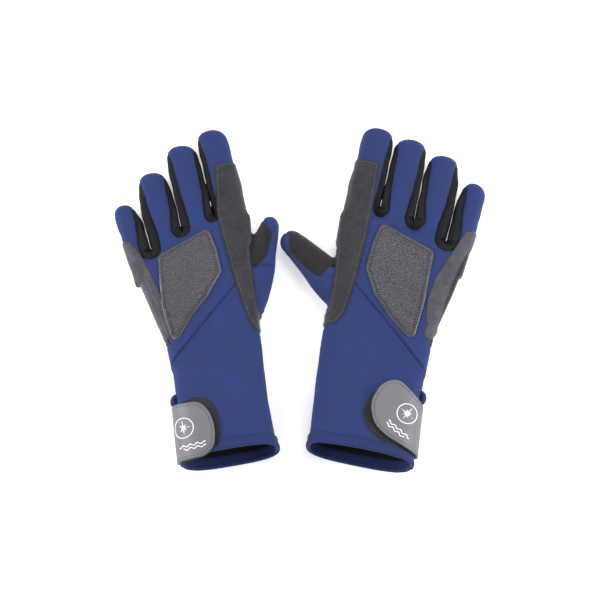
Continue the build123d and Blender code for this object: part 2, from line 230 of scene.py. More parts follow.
def handRings(glove):
    shape = glove.shape
    power = commonShape["handPower"]
    roots = [glove.digits[n]["pivot"][:2] - glove.digits[n]["way"] * commonShape["rootToBend"]
             for n in fingerNames]
    line = (roots[-1] - roots[0]) / np.linalg.norm(roots[-1] - roots[0])
    outerA = roots[0] - line * (glove.digits["index"]["half"] - 0.8)
    outerB = roots[-1] + line * (glove.digits["little"]["half"] - 0.6)
    ends = [(np.array([a, y]), np.array([b, y]), d) for y, a, b, d in shape["stations"]]
    ahead = np.array([-line[1], line[0]])
    ends.append((outerA - ahead * 15, outerB - ahead * 15, 32.5))
    ends.append((outerA - ahead * 5, outerB - ahead * 5, 28.5))
    ends.append((outerA + ahead * 1.5 + line * 2, outerB + ahead * 1.5 - line * 2, 21.0))
    rings = []
    for a, b, depth in ends:
        middle = (a + b) / 2
        half = np.linalg.norm(b - a) / 2
        centre = (middle[0], middle[1], 1.2 + depth / 2 + (1.5 if depth < 30 else 0))
        rings.append(ringPoints(centre, (b - a) / (2 * half), half, depth / 2, power, 96))
    return refineRings(rings)


# catmull-Rom between rings, so the long lines run smoothly
def refineRings(rings, parts=4):
    stack = np.array([rings[0]] + rings + [rings[-1]])
    fine = []
    for k in range(1, len(stack) - 2):
        p0, p1, p2, p3 = stack[k - 1:k + 3]
        for step in range(parts):
            t = step / parts
            fine.append(0.5 * (2 * p1 + (p2 - p0) * t + (2 * p0 - 5 * p1 + 4 * p2 - p3) * t * t
                               + (3 * p1 - p0 - 3 * p2 + p3) * t ** 3))
    fine.append(rings[-1])
    return fine


def fingerRings(glove, name):
    digit = glove.digits[name]
    length = digit["reach"] + commonShape["rootToBend"]
    half = digit["half"]
    halfHeight = 12.3
    tipLength = 12.5
    stops = list(np.linspace(-commonShape["bury"], length - tipLength, 16))
    stops += [length - tipLength * (1 - math.sin(a)) for a in np.linspace(0.15, math.pi / 2, 9)]
    rings = []
    for along in stops:
        share = along / length
        shoulder = max(0.0, 1 - max(0.0, (along - (length - tipLength)) / tipLength) ** 2.3)
        end = math.sqrt(shoulder) * 0.97 + 0.03
        swell = 1 - 0.07 * max(share - 0.3, 0) + 0.02 * math.sin(share * 9.0 + len(name))
        width = half * swell * end
        height = (halfHeight * (1 - 0.13 * max(share, 0)) + 1.5 * math.exp(-(max(share, 0) / 0.22) ** 2)) * end
        flat = digit["pivot"][:2] + digit["way"] * (along - commonShape["rootToBend"])
        flat = flat + digit["side"] * float(glove.bowAt(name, along))
        z = float(glove.axisHeight(name, np.array([along]))[0])
        rings.append(ringPoints((flat[0], flat[1], z), digit["side"], width, height,
                                commonShape["fingerPower"]))
    return rings


# along from the bend, half width, half height, and how far the middle lies to the fingers' side
thumbShape = dict(
    right=[(-56, 9, 9, -2), (-45, 14.5, 14, -2), (-30, 18.5, 15, -1), (-13, 17.8, 14.5, 0), (1, 15.6, 13.6, 1.2),
           (14, 13.8, 12.8, 2.0), (26, 12.4, 12, 2.6), (32, 11.2, 11, 2.7)],
    left=[(-76, 7, 8, 0), (-62, 13, 13, -1), (-40, 17.5, 15, 0), (-17, 17, 15, 0), (-2, 15.0, 14, 0),
          (9, 12.6, 13, -1.5), (17, 10.8, 12, -2.6), (22, 9.4, 11, -3.2)],
)


def thumbRings(glove):
    digit = glove.digits["thumb"]
    rows = [r for r in thumbShape[glove.side] if r[0] < digit["reach"] - 6]
    last = rows[-1]
    tip = digit["reach"] + 3.5 - last[0]
    for a in np.linspace(0.2, math.pi / 2, 8):
        end = math.cos(a) * 0.96 + 0.04
        rows.append((last[0] + tip * math.sin(a), last[1] * end, last[2] * end, last[3]))
    rings = []
    for along, half, halfHeight, shift in rows:
        flat = digit["pivot"][:2] + digit["way"] * along + digit["side"] * shift
        z = digit["pivot"][2] + 0.5 - 0.02 * along
        rings.append(ringPoints((flat[0], flat[1], z), digit["side"], half, halfHeight, 2.3))
    return refineRings(rings, 3)


# fills the crotch between two fingers, so the gap starts inside the round web
def webRings(glove, k):
    centre = glove.crotches[k][0]
    way = glove.crotchWays[k]
    across = np.array([way[1], -way[0]])
    rings = []
    for ahead, size in ((-8, 0.7), (-5, 0.9), (-1, 1.0), (1.2, 0.8), (2.4, 0.35)):
        flat = centre + way * ahead
        rings.append(ringPoints((flat[0], flat[1], 13.5), across, 6.0 * size, 10.5 * size, 2.3))
    return rings


# the evaluated mesh of obj, with obj removed
def applied(obj):
    depsgraph = bpy.context.evaluated_depsgraph_get()
    mesh = bpy.data.meshes.new_from_object(obj.evaluated_get(depsgraph))
    bpy.data.objects.remove(obj)
    return mesh


def meshArrays(mesh):
    mesh.calc_loop_triangles()
    points = np.empty(len(mesh.vertices) * 3)
    mesh.vertices.foreach_get("co", points)
    triangles = np.empty(len(mesh.loop_triangles) * 3, np.int32)
    mesh.loop_triangles.foreach_get("vertices", triangles)
    return points.reshape(-1, 3), triangles.reshape(-1, 3)


# all tubes joined, remeshed and smoothed into one closed form
def masterForm(glove):
    forms = [tubeMesh(handRings(glove)), tubeMesh(thumbRings(glove))]
    forms += [tubeMesh(fingerRings(glove, name)) for name in fingerNames]
    forms += [tubeMesh(webRings(glove, k)) for k in range(3)]
    points, faces = [], []
    for pts, fcs in forms:
        base = sum(len(p) for p in points)
        points.append(pts)
        faces += [tuple(i + base for i in f) for f in fcs]
    mesh = bpy.data.meshes.new("form")
    mesh.from_pydata(np.concatenate(points).tolist(), [], faces)
    obj = bpy.data.objects.new("form", mesh)
    scene.collection.objects.link(obj)
    remesh = obj.modifiers.new("Remesh", "REMESH")
    remesh.mode = "VOXEL"
    remesh.voxel_size = commonShape["voxel"]
    relax = obj.modifiers.new("Smooth", "SMOOTH")
    relax.factor = 0.5
    relax.iterations = commonShape["smoothing"]
    result = applied(obj)
    pts, tris = meshArrays(result)
    bpy.data.meshes.remove(result)
    return orient(pts, tris)


def orient(points, triangles):
    a, b, c = (points[triangles[:, i]] for i in range(3))
    if np.einsum("ij,ij->i", a, np.cross(b, c)).sum() < 0:
        triangles = triangles[:, ::-1]
    return points, triangles


def vertexNormals(points, triangles):
    a, b, c = (points[triangles[:, i]] for i in range(3))
    face = np.cross(b - a, c - a)
    normals = np.zeros_like(points)
    for i in range(3):
        np.add.at(normals, triangles[:, i], face)
    return normals / np.maximum(np.linalg.norm(normals, axis=1, keepdims=True), 1e-12)


# panel fields: negative inside a panel, in millimetres
# signed distance in plan to a closed outline, with its corners rounded
def outlineDistance(points, outline, rounding=0.0):
    corners = np.array(outline, float)
    if rounding:
        corners = insetOutline(corners, rounding)
    best = np.full(len(points), 1e9)
    inside = np.zeros(len(points), bool)
    x, y = points[:, 0], points[:, 1]
    for k in range(len(corners)):
        a, b = corners[k], corners[(k + 1) % len(corners)]
        edge = b - a
        rel = points[:, :2] - a
        share = np.clip(rel @ edge / (edge @ edge), 0, 1)
        best = np.minimum(best, np.linalg.norm(rel - share[:, None] * edge, axis=1))
        crosses = (a[1] > y) != (b[1] > y)
        with np.errstate(divide="ignore", invalid="ignore"):
            at = (b[0] - a[0]) * (y - a[1]) / (b[1] - a[1]) + a[0]
        inside ^= crosses & (x < at)
    return np.where(inside, -best, best) - rounding


def insetOutline(corners, amount):
    area = sum(corners[k - 1][0] * corners[k][1] - corners[k][0] * corners[k - 1][1]
               for k in range(len(corners)))
    turn = 1 if area > 0 else -1
    result = []
    for k in range(len(corners)):
        before = corners[k] - corners[k - 1]
        after = corners[(k + 1) % len(corners)] - corners[k]
        before = before / np.linalg.norm(before)
        after = after / np.linalg.norm(after)
        inward = turn * (np.array([-before[1], before[0]]) + np.array([-after[1], after[0]]))
        result.append(corners[k] + inward / max(1 + before @ after, 0.35) * amount)
    return np.array(result)


# where along the glove the cuff's slanting seam runs, over the back and round the palm
def seamHeightOfCuff(points):
    line = np.clip(131 - 0.97 * points[:, 0], 84, 172)
    back = smooth(points[:, 2], 12, 24)
    return 104 + (line - 104) * back


# every field that cuts or grooves the master form
def panelFields(glove, pts):
    shape = glove.shape
    fields = {}
    edge = -49 * shape["spread"]
    coords = {n: glove.digitCoordinates(n, pts) for n in digitNames}
    cut = commonShape["rootToBend"] - commonShape["blendHalf"]
    own = {}
    for k, name in enumerate(fingerNames):
        along, across, height = coords[name]
        own[name] = np.maximum(cut - along, np.abs(across) - glove.digits[name]["half"] - 1.6)
    along, across, height = coords["thumb"]
    own["thumb"] = np.maximum(cut - along, pts[:, 0] - (edge - 0.5))
    fields["own"] = own

    palms, seams = {}, {}
    lowSeam = {}
    for k, name in enumerate(fingerNames):
        along, across, height = coords[name]
        digit = glove.digits[name]
        length = digit["reach"] + commonShape["rootToBend"]
        toTip = smooth(along, length - 13, length - 1)
        strip = shape["stripBase"][k] + (shape["stripTop"][k] - shape["stripBase"][k]) * smooth(along, 2, 0.6 * length)
        seams[name] = digit["half"] - strip + (strip + 0.5) * toTip
        lowSeam[name] = -4.5 + 1.5 * toTip
        outer = smooth(across, -4, 4) if k == 0 else (1 - smooth(across, -4, 4) if k == 3 else 1.0)
        palms[name] = height - (lowSeam[name] * outer + (1 - outer) * -2.0)
    fields["palms"] = palms

    # black knit between two fingers: the band between their seams, closed by a round web
    black = np.full(len(pts), 1e9)
    middles = np.full(len(pts), 1e9)
    room = np.full(len(pts), 1e9)
    for k in range(3):
        one, two = fingerNames[k], fingerNames[k + 1]
        centre, radius = glove.crotches[k]
        ahead = (pts[:, :2] - centre) @ glove.crotchWays[k]
        band = np.maximum(seams[one] - coords[one][1], coords[two][1] + seams[two])
        disc = np.linalg.norm(pts[:, :2] - centre, axis=1) - radius
        black = np.minimum(black, np.minimum(disc, np.maximum(band, -ahead)))
        gap = (coords[one][1] - glove.digits[one]["half"] + coords[two][1] + glove.digits[two]["half"]) / 2
        middles = np.minimum(middles, np.where(ahead > -radius * 0.4, np.abs(gap), 50.0))
        room = np.where((ahead > 0) & (np.abs(gap) < room), np.abs(gap), room)
    fields["room"] = np.where(room < 20, room, 0.0)
    handOnly = np.min([own[n] for n in fingerNames], axis=0) > 0
    floorLevel = np.full(len(pts), 8.0)
    for name in fingerNames:
        along, across, height = coords[name]
        lowest = lowSeam[name] + glove.axisHeight(name, along)
        floorLevel = np.where(own[name] <= 0, lowest, floorLevel)
    fields["black"] = np.maximum(black, floorLevel - pts[:, 2])
    fields["middles"] = np.where(handOnly, middles, 50.0)

    side = smooth(pts[:, 0], -20, 30)
    palmLevel = 10.5 + 2.5 * side + 13 * smooth(pts[:, 0], 36, 50) * smooth(pts[:, 1], 100, 128)
    ulnar = np.array(shape["ulnarLine"])
    beyond = np.interp(pts[:, 1], ulnar[:, 1], ulnar[:, 0]) - pts[:, 0]
    beyond = np.max([beyond, 108 - pts[:, 1], pts[:, 1] - ulnar[-1, 1]], axis=0)
    fields["handPalm"] = np.minimum(pts[:, 2] - palmLevel, beyond)
    fields["cuffSeam"] = pts[:, 1] - seamHeightOfCuff(pts)
    fields["mouth"] = -(pts[:, 1] - (shape["mouthSlant"][0] * pts[:, 0]
                                     + shape["mouthSlant"][1] * (pts[:, 2] - 46) + shape["mouthSlant"][2]))

    fields["hem"] = fields["mouth"] + hemShape["width"]

    index = glove.digits["index"]
    top = index["reach"] - shape["guardDown"]
    corner = index["pivot"][:2] + index["way"] * top + index["side"] * shape["guardLat"]
    outerTop = index["pivot"][:2] + index["way"] * top - index["side"] * 40
    outline = [tuple(outerTop), tuple(corner)] + shape["guardInner"] + [(-90, shape["guardInner"][-1][1])]
    thumbStart = edge + 1.5 - 8 * (1 - smooth(pts[:, 1], 118, 134)) - 8 * smooth(pts[:, 1], 190, 206)
    fields["guard"] = np.max([outlineDistance(pts, outline, 5.0), 8.5 - pts[:, 2], thumbStart - pts[:, 0]], axis=0)
    fields["littleGuard"] = np.maximum(outlineDistance(pts, shape["littleGuard"], 5.0),
                                       shape["littleGuardFloor"] - pts[:, 2])
    fields["patch"] = np.maximum(outlineDistance(pts, shape["patch"], 5.0), 22 - pts[:, 2])

    gap = np.abs(pts[:, 2] - 13.0) - gussetShape["mouth"] / 2 * (1 - pts[:, 1] / gussetShape["length"])
    fields["gusset"] = np.maximum(np.maximum(gap, pts[:, 1] - gussetShape["length"]), 25 - pts[:, 0])
    fields["palmPatch"] = np.maximum(outlineDistance(pts, palmOutline, 10.0), pts[:, 2] - 6.5)

    along, across, height = coords["thumb"]
    length = glove.digits["thumb"]["reach"] + commonShape["rootToBend"]
    half = glove.digits["thumb"]["half"]
    seam = -half * 0.62 + smooth(along, 12, -22) * half * 1.25 + smooth(along, length - 16, length) * half
    fields["thumbBlack"] = np.maximum(seam - across, pts[:, 0] - (edge + 6))
    fields["thumbPalm"] = height + 3.5
    return fields


# cuts every triangle that the field's zero line crosses, so panels end on a smooth line
def splitAlong(pts, tris, field, where):
    near = np.abs(field) < 0.12
    field = np.where(near, 0.0, field)
    values = field[tris]
    crossing = (values.min(1) < 0) & (values.max(1) > 0) & where[tris].all(1)
    keep = tris[~crossing]
    made, newPairs, added = [], {}, []

    def middle(a, b):
        key = (min(a, b), max(a, b))
        if key not in newPairs:
            share = field[key[0]] / (field[key[0]] - field[key[1]])
            newPairs[key] = len(pts) + len(added)
            added.append((key[0], key[1], share))
        return newPairs[key]

    for tri in tris[crossing].tolist():
        signs = [int(np.sign(field[v])) for v in tri]
        if 0 in signs:
            k = signs.index(0)
            a, b, c = tri[k], tri[(k + 1) % 3], tri[(k + 2) % 3]
            m = middle(b, c)
            made += [(a, b, m), (a, m, c)]
            continue
        k = next(i for i in range(3) if signs[i] != signs[(i + 1) % 3] and signs[i] != signs[(i + 2) % 3])
        a, b, c = tri[k], tri[(k + 1) % 3], tri[(k + 2) % 3]
        m, n = middle(a, b), middle(a, c)
        made += [(a, m, n), (m, b, c), (m, c, n)]
    tris = np.concatenate([keep, np.array(made, np.int32).reshape(-1, 3)])
    return tris, added


# cuts the form along every panel border in turn and returns the finer form
def cutPanels(glove, pts, normals, tris):
    everywhere = lambda fields: np.ones(len(pts), bool)
    onHand = lambda fields: np.min(list(fields["own"].values()), axis=0) > -0.01
    cuts = [(lambda f: f["mouth"], everywhere)]
    cuts += [(lambda f, n=name: f["own"][n], everywhere) for name in digitNames]
    cuts += [(lambda f, k=key: f[k], everywhere) for key in ("guard", "littleGuard", "patch")]
    cuts += [(lambda f: f["black"], lambda f: np.minimum(f["guard"], f["littleGuard"]) > -0.01)]
    cuts += [(lambda f, n=name: f["palms"][n], lambda f, n=name: f["own"][n] < 0.01) for name in fingerNames]
    cuts += [
        (lambda f: f["handPalm"], lambda f: onHand(f) & (f["cuffSeam"] > -3)),
        (lambda f: f["cuffSeam"], onHand),
        (lambda f: f["thumbBlack"], lambda f: (pts[:, 0] < -30) & (pts[:, 1] > 100)),
        (lambda f: f["thumbPalm"], lambda f: f["own"]["thumb"] < 0.01),
    ]
    cuts += [(lambda f, k=key: f[k], everywhere) for key in ("hem", "gusset", "palmPatch")]
    for border, where in cuts:
        fields = panelFields(glove, pts)
        tris, added = splitAlong(pts, tris, border(fields), where(fields))
        if added:
            a, b = (np.array([x[i] for x in added]) for i in (0, 1))
            share = np.array([x[2] for x in added])[:, None]
            pts = np.concatenate([pts, pts[a] * (1 - share) + pts[b] * share])
            mixed = normals[a] * (1 - share) + normals[b] * share
            mixed /= np.linalg.norm(mixed, axis=1, keepdims=True)
            normals = np.concatenate([normals, mixed])
    return pts, normals, tris


hemShape = dict(width=8.5, raised=1.2, roll=2.1)
gussetShape = dict(length=60.0, mouth=13.0, sunk=1.6)
palmOutline = [(-30, 112), (20, 104), (42, 112), (50, 150), (56, 186), (20, 200), (-24, 206), (-38, 160)]


# height (negative is a groove) and width across the seam, in mm
reliefShape = dict(
    strip=(-1.5, 1.1), crotch=(-1.8, 1.3), fingerPalm=(-0.6, 1.1), knuckle=(-0.5, 3.0), cuffSeam=(-1.5, 1.2),
    cuffLip=(0.8, 2.4), backLip=(0.5, 2.2), handPalm=(-0.6, 1.2), padEdge=(-0.5, 1.2), thumb=(-0.8, 1.2),
    stripPuff=1.0, stripFill=2.4, fingerWave=0.35, cuffWave=0.85, handWave=0.25, dent=-1.3,
)


def ridge(name, field, centre=0.0):
    height, width = reliefShape[name]
    return height * np.exp(-((field - centre) / width) ** 2)


# grooves along the seams, the puff of the finger strips, and soft wrinkles
def seamRelief(glove, pts):
    fields = panelFields(glove, pts)
    own, black = fields["own"], fields["black"]
    x, y, z = pts[:, 0], pts[:, 1], pts[:, 2]
    relief = np.zeros(len(pts))
    hand = smooth(np.min([own[n] for n in own], axis=0), -2, 2)
    bare = smooth(np.minimum(fields["guard"], fields["littleGuard"]), -0.5, 1.0)
    coords = {name: glove.digitCoordinates(name, pts) for name in fingerNames}
    lengths = {name: glove.digits[name]["reach"] + commonShape["rootToBend"] for name in fingerNames}
    ends = np.zeros(len(pts))
    for name in fingerNames:
        ends = np.maximum(ends, (own[name] <= 0) * smooth(coords[name][0], lengths[name] - 26, lengths[name] - 9))
    relief += (1 - 0.8 * ends) * bare * ridge("strip", black)
    relief += (1 - 0.6 * ends) * bare * reliefShape["stripPuff"] * smooth(-black, 0.7, 3.2)
    room = np.clip(fields["room"] - 1.15, 0, reliefShape["stripFill"])
    relief += (1 - ends) * bare * room * smooth(-black, 0.8, 3.0)
    relief += ridge("crotch", fields["middles"]) * smooth(z, 8, 16)
    for name in fingerNames:
        inside = 1 - smooth(own[name], -1.5, 1.5)
        along, across, height = coords[name]
        relief += inside * ridge("fingerPalm", fields["palms"][name])
        wave = np.sin(along * 0.23 + len(name)) * np.sin(along * 0.071 + 2 * len(name))
        relief += reliefShape["fingerWave"] * inside * wave * smooth(along, 6, 20)
        relief += inside * ridge("knuckle", along, 0.46 * lengths[name]) * (height > 0)
    onHand = hand * (1 - smooth(-fields["patch"], -1, 1))
    onHand *= smooth(fields["guard"], -1, 1) * smooth(fields["littleGuard"], -1, 1)
    relief += onHand * (ridge("cuffSeam", fields["cuffSeam"]) + ridge("cuffLip", fields["cuffSeam"], -3.4)
                        + ridge("backLip", fields["cuffSeam"], 3.0))
    relief += hand * smooth(fields["cuffSeam"], -1, 1) * ridge("handPalm", fields["handPalm"])
    for key in ("guard", "littleGuard", "patch"):
        relief += ridge("padEdge", fields[key], 0.6)
    relief += ridge("thumb", fields["thumbBlack"]) * smooth(-x, 40, 46)
    # the cuff is soft: long shallow waves round it, and a dent above the strap
    soft = np.sin(x * 0.055 + 0.6) * np.sin(y * 0.043 + 1.1 + 0.01 * x)
    soft += 0.6 * np.sin(x * 0.09 - y * 0.06 + 2.0 * glove.shape["sign"])
    relief += reliefShape["cuffWave"] * smooth(150 - y, 0, 60) * soft * smooth(z, 3, 14)
    relief += reliefShape["dent"] * np.exp(-((x - 10) / 34) ** 2 - ((y - 70) / 26) ** 2) * smooth(z, 20, 34)
    relief -= gussetShape["sunk"] * smooth(-fields["gusset"], -0.3, 1.6)
    body = np.sin(x * 0.11 + y * 0.07) * np.sin(y * 0.12 - x * 0.05)
    return relief + reliefShape["handWave"] * body * smooth(z, 3, 14)


# making pieces
def makeObject(name, verts, faces, material, normals):
    mesh = bpy.data.meshes.new(name)
    mesh.from_pydata((np.asarray(verts) / 1000).tolist(), [], [tuple(f) for f in np.asarray(faces).tolist()])
    mesh.polygons.foreach_set("use_smooth", [True] * len(mesh.polygons))
    mesh.materials.append(material)
    mesh.update()
    mesh.normals_split_custom_set_from_vertices(np.asarray(normals).tolist())
    obj = bpy.data.objects.new(name, mesh)
    scene.collection.objects.link(obj)
    return obj


# a closed piece of cloth: the panel's outside, its inside and the rim between
def shellPiece(glove, name, pts, normals, tris, material, raised=None, depth=None):
    used = np.unique(tris)
    index = np.full(len(pts), -1)
    index[used] = np.arange(len(used))
    faces = index[tris]
    lift = raised[used][:, None] if raised is not None else 0.0
    thick = depth or commonShape["wall"]
    outer = pts[used] + normals[used] * lift
    inner = pts[used] - normals[used] * thick
    count = len(used)
    edges = np.concatenate([faces[:, [0, 1]], faces[:, [1, 2]], faces[:, [2, 0]]])
    pairs = {tuple(e) for e in edges.tolist()}
    rim = [(a, b) for a, b in pairs if (b, a) not in pairs]
    sides = []
    for a, b in rim:
        sides += [(b, a, a + count), (b, a + count, b + count)]
    allFaces = np.concatenate([faces, faces[:, ::-1] + count, np.array(sides).reshape(-1, 3)])
    verts = np.concatenate([outer, inner])
    world = glove.world(verts)
    if glove.shape["sign"] < 0:
        allFaces = allFaces[:, ::-1]
    outwards = glove.direction(np.concatenate([normals[used], -normals[used]]))
    return makeObject(f"{glove.side}_{name}", world, allFaces, material, outwards)


# chains of points where the field passes level, each with the surface's normal
def isoLines(pts, normals, tris, field, level, where):
    values = field - level
    values = np.where(np.abs(values) < 1e-6, 1e-6, values)
    v = values[tris]
    crossing = (v.min(1) < 0) & (v.max(1) > 0) & where[tris].all(1)
    links, places = {}, {}
    for tri in tris[crossing].tolist():
        keys = []
        for i in range(3):
            a, b = tri[i], tri[(i + 1) % 3]
            if (values[a] < 0) != (values[b] < 0):
                key = (min(a, b), max(a, b))
                if key not in places:
                    s = values[key[0]] / (values[key[0]] - values[key[1]])
                    places[key] = (pts[key[0]] * (1 - s) + pts[key[1]] * s,
                                   normals[key[0]] * (1 - s) + normals[key[1]] * s)
                keys.append(key)
        if len(keys) == 2:
            links.setdefault(keys[0], []).append(keys[1])
            links.setdefault(keys[1], []).append(keys[0])
    chains, seen = [], set()
    order = sorted(links, key=lambda k: (len(links[k]), k))
    for start in order:
        if start in seen:
            continue
        chain = [start]
        seen.add(start)
        current = start
        while True:
            onward = [k for k in links[current] if k not in seen]
            if not onward:
                break
            current = onward[0]
            seen.add(current)
            chain.append(current)
        closed = len(chain) > 3 and chain[0] in links[chain[-1]]
        line = [places[k] for k in chain]
        if closed:
            line.append(line[0])
        if len(line) > 6:
            chains.append((np.array([p for p, n in line]), np.array([n for p, n in line])))
    return chains


# shader groups shared by several finishes
def newGroup(name, inputs, outputs, kind="ShaderNodeTree"):
    group = bpy.data.node_groups.new(name, kind)
    for label, socket, value in inputs:
        item = group.interface.new_socket(name=label, in_out="INPUT", socket_type=socket)
        if value is not None:
            item.default_value = value
    for label, socket in outputs:
        group.interface.new_socket(name=label, in_out="OUTPUT", socket_type=socket)
    return group, group.nodes.new("NodeGroupInput"), group.nodes.new("NodeGroupOutput")


# short words for adding and joining nodes
class Wiring:
    def __init__(self, tree):
        self.tree = tree

    def node(self, kind, settings=None, **inputs):
        made = self.tree.nodes.new(kind)
        for key, value in (settings or {}).items():
            setattr(made, key, value)
        for key, value in inputs.items():
            self.join(value, made.inputs[key.replace("_", " ")])
        return made

    def join(self, value, socket):
        if isinstance(value, bpy.types.NodeSocket):
            self.tree.links.new(value, socket)
        else:
            socket.default_value = value

    def maths(self, operation, a, b=0.0, c=0.0):
        made = self.tree.nodes.new("ShaderNodeMath")
        made.operation = operation
        for value, socket in zip((a, b, c), made.inputs):
            self.join(value, socket)
        return made.outputs[0]

    def ramp(self, value, low, high, toLow=0.0, toHigh=1.0):
        made = self.tree.nodes.new("ShaderNodeMapRange")
        made.interpolation_type = "SMOOTHSTEP"
        for key, number in (("From Min", low), ("From Max", high), ("To Min", toLow), ("To Max", toHigh)):
            made.inputs[key].default_value = number
        self.join(value, made.inputs["Value"])
        return made.outputs[0]

    def mix(self, share, a, b):
        made = self.tree.nodes.new("ShaderNodeMix")
        made.data_type = "RGBA"
        self.join(share, made.inputs[0])
        self.join(a, made.inputs[6])
        self.join(b, made.inputs[7])
        return made.outputs[2]


# fine jersey: small V-shaped loops, with a little lint
def knitGroup():
    group, given, out = newGroup("jerseyKnit", [("Scale", "NodeSocketFloat", 900.0), ("Lint", "NodeSocketFloat", 0.5)],
                                 [("Height", "NodeSocketFloat"), ("Shade", "NodeSocketFloat"),
                                  ("Specks", "NodeSocketFloat")])
    w = Wiring(group)
    place = w.node("ShaderNodeTexCoord").outputs["Object"]
    scaled = w.node("ShaderNodeVectorMath", dict(operation="SCALE"), Vector=place, Scale=given.outputs["Scale"])
    parts = w.node("ShaderNodeSeparateXYZ", Vector=scaled.outputs["Vector"])
    zig = w.maths("PINGPONG", parts.outputs["X"], 0.5)
    slope = w.maths("MULTIPLY", zig, 1.1)
    row = w.maths("ADD", w.maths("MULTIPLY", parts.outputs["Y"], 0.8), slope)
    loops = w.maths("SINE", w.maths("MULTIPLY", row, 6.2832))
    columns = w.maths("SINE", w.maths("MULTIPLY", parts.outputs["X"], 6.2832))
    height = w.maths("MULTIPLY_ADD", w.maths("ADD", loops, w.maths("MULTIPLY", columns, 0.6)), 0.3, 0.5)
    w.join(height, out.inputs["Height"])
    cloud = w.node("ShaderNodeTexNoise", Vector=place, Scale=55.0, Detail=5.0, Roughness=0.65)
    w.join(w.ramp(cloud.outputs["Fac"], 0.3, 0.7), out.inputs["Shade"])
    dots = w.node("ShaderNodeTexVoronoi", Vector=place, Scale=260.0, Randomness=1.0)
    lint = w.ramp(dots.outputs["Distance"], 0.10, 0.03)
    rare = w.node("ShaderNodeTexNoise", Vector=place, Scale=140.0, Detail=1.0)
    w.join(w.maths("MULTIPLY", w.maths("MULTIPLY", lint, w.ramp(rare.outputs["Fac"], 0.56, 0.66)),
                   given.outputs["Lint"]), out.inputs["Specks"])
    return group


# suede nap: short directionless fibres and cloudy brushing marks
def napGroup():
    group, given, out = newGroup("suedeNap", [("Scale", "NodeSocketFloat", 1400.0)],
                                 [("Height", "NodeSocketFloat"), ("Shade", "NodeSocketFloat")])
    w = Wiring(group)
    place = w.node("ShaderNodeTexCoord").outputs["Object"]
    fine = w.node("ShaderNodeTexNoise", Vector=place, Scale=given.outputs["Scale"], Detail=3.0, Roughness=0.7)
    grain = w.node("ShaderNodeTexNoise", Vector=place, Scale=420.0, Detail=4.0, Roughness=0.75)
    w.join(w.maths("ADD", w.maths("MULTIPLY", fine.outputs["Fac"], 0.4),
                   w.maths("MULTIPLY", grain.outputs["Fac"], 0.6)), out.inputs["Height"])
    brushed = w.node("ShaderNodeTexNoise", Vector=place, Scale=70.0, Detail=6.0, Roughness=0.7, Distortion=0.8)
    w.join(w.ramp(w.maths("ADD", w.maths("MULTIPLY", brushed.outputs["Fac"], 0.55),
                          w.maths("MULTIPLY", grain.outputs["Fac"], 0.45)), 0.34, 0.66), out.inputs["Shade"])
    return group


# raised pebbles with creases between, as on embossed leather
def pebbleGroup():
    group, given, out = newGroup("leatherPebble", [("Scale", "NodeSocketFloat", 620.0)],
                                 [("Height", "NodeSocketFloat"), ("Crease", "NodeSocketFloat")])
    w = Wiring(group)
    place = w.node("ShaderNodeTexCoord").outputs["Object"]
    bend = w.node("ShaderNodeTexNoise", Vector=place, Scale=300.0, Detail=2.0)
    moved = w.node("ShaderNodeVectorMath", dict(operation="MULTIPLY_ADD"))
    w.join(bend.outputs["Color"], moved.inputs[0])
    moved.inputs[1].default_value = (0.0011, 0.0011, 0.0011)
    w.join(place, moved.inputs[2])
    cells = w.node("ShaderNodeTexVoronoi", dict(feature="DISTANCE_TO_EDGE"), Vector=moved.outputs["Vector"],
                   Scale=given.outputs["Scale"])
    dome = w.ramp(cells.outputs["Distance"], 0.0, 0.28)
    w.join(dome, out.inputs["Height"])
    w.join(w.maths("SUBTRACT", 1.0, w.ramp(cells.outputs["Distance"], 0.02, 0.12)), out.inputs["Crease"])
    return group


# how near a point is to its panel's cut edge, from the panel's own measure in mm
def borderGroup():
    group, given, out = newGroup("panelBorder", [("Width", "NodeSocketFloat", 1.0)], [("Mask", "NodeSocketFloat")])
    w = Wiring(group)
    inside = w.node("ShaderNodeAttribute", dict(attribute_name="border")).outputs["Fac"]
    share = w.maths("DIVIDE", inside, given.outputs["Width"])
    w.join(w.ramp(share, 0.75, 1.1, 1.0, 0.0), out.inputs["Mask"])
    return group


knit, nap, pebble, border = knitGroup(), napGroup(), pebbleGroup(), borderGroup()


def toLinear(colour):
    return tuple(c / 12.92 if c <= 0.04045 else ((c + 0.055) / 1.055) ** 2.4
                 for c in (v / 255 for v in colour)) + (1.0,)


def startMaterial(name, **fixed):
    material = bpy.data.materials.new(name)
    material.use_nodes = True
    tree = material.node_tree
    shader = tree.nodes["Principled BSDF"]
    for key, value in fixed.items():
        shader.inputs[key.replace("_", " ")].default_value = value
    return material, Wiring(tree), shader


def placeGroup(w, group, **inputs):
    made = w.tree.nodes.new("ShaderNodeGroup")
    made.node_tree = group
    for key, value in inputs.items():
        w.join(value, made.inputs[key.replace("_", " ")])
    return made


def bumpInto(w, shader, height, strength, distance):
    bump = w.node("ShaderNodeBump", Strength=strength, Distance=distance, Height=height)
    w.join(bump.outputs["Normal"], shader.inputs["Normal"])


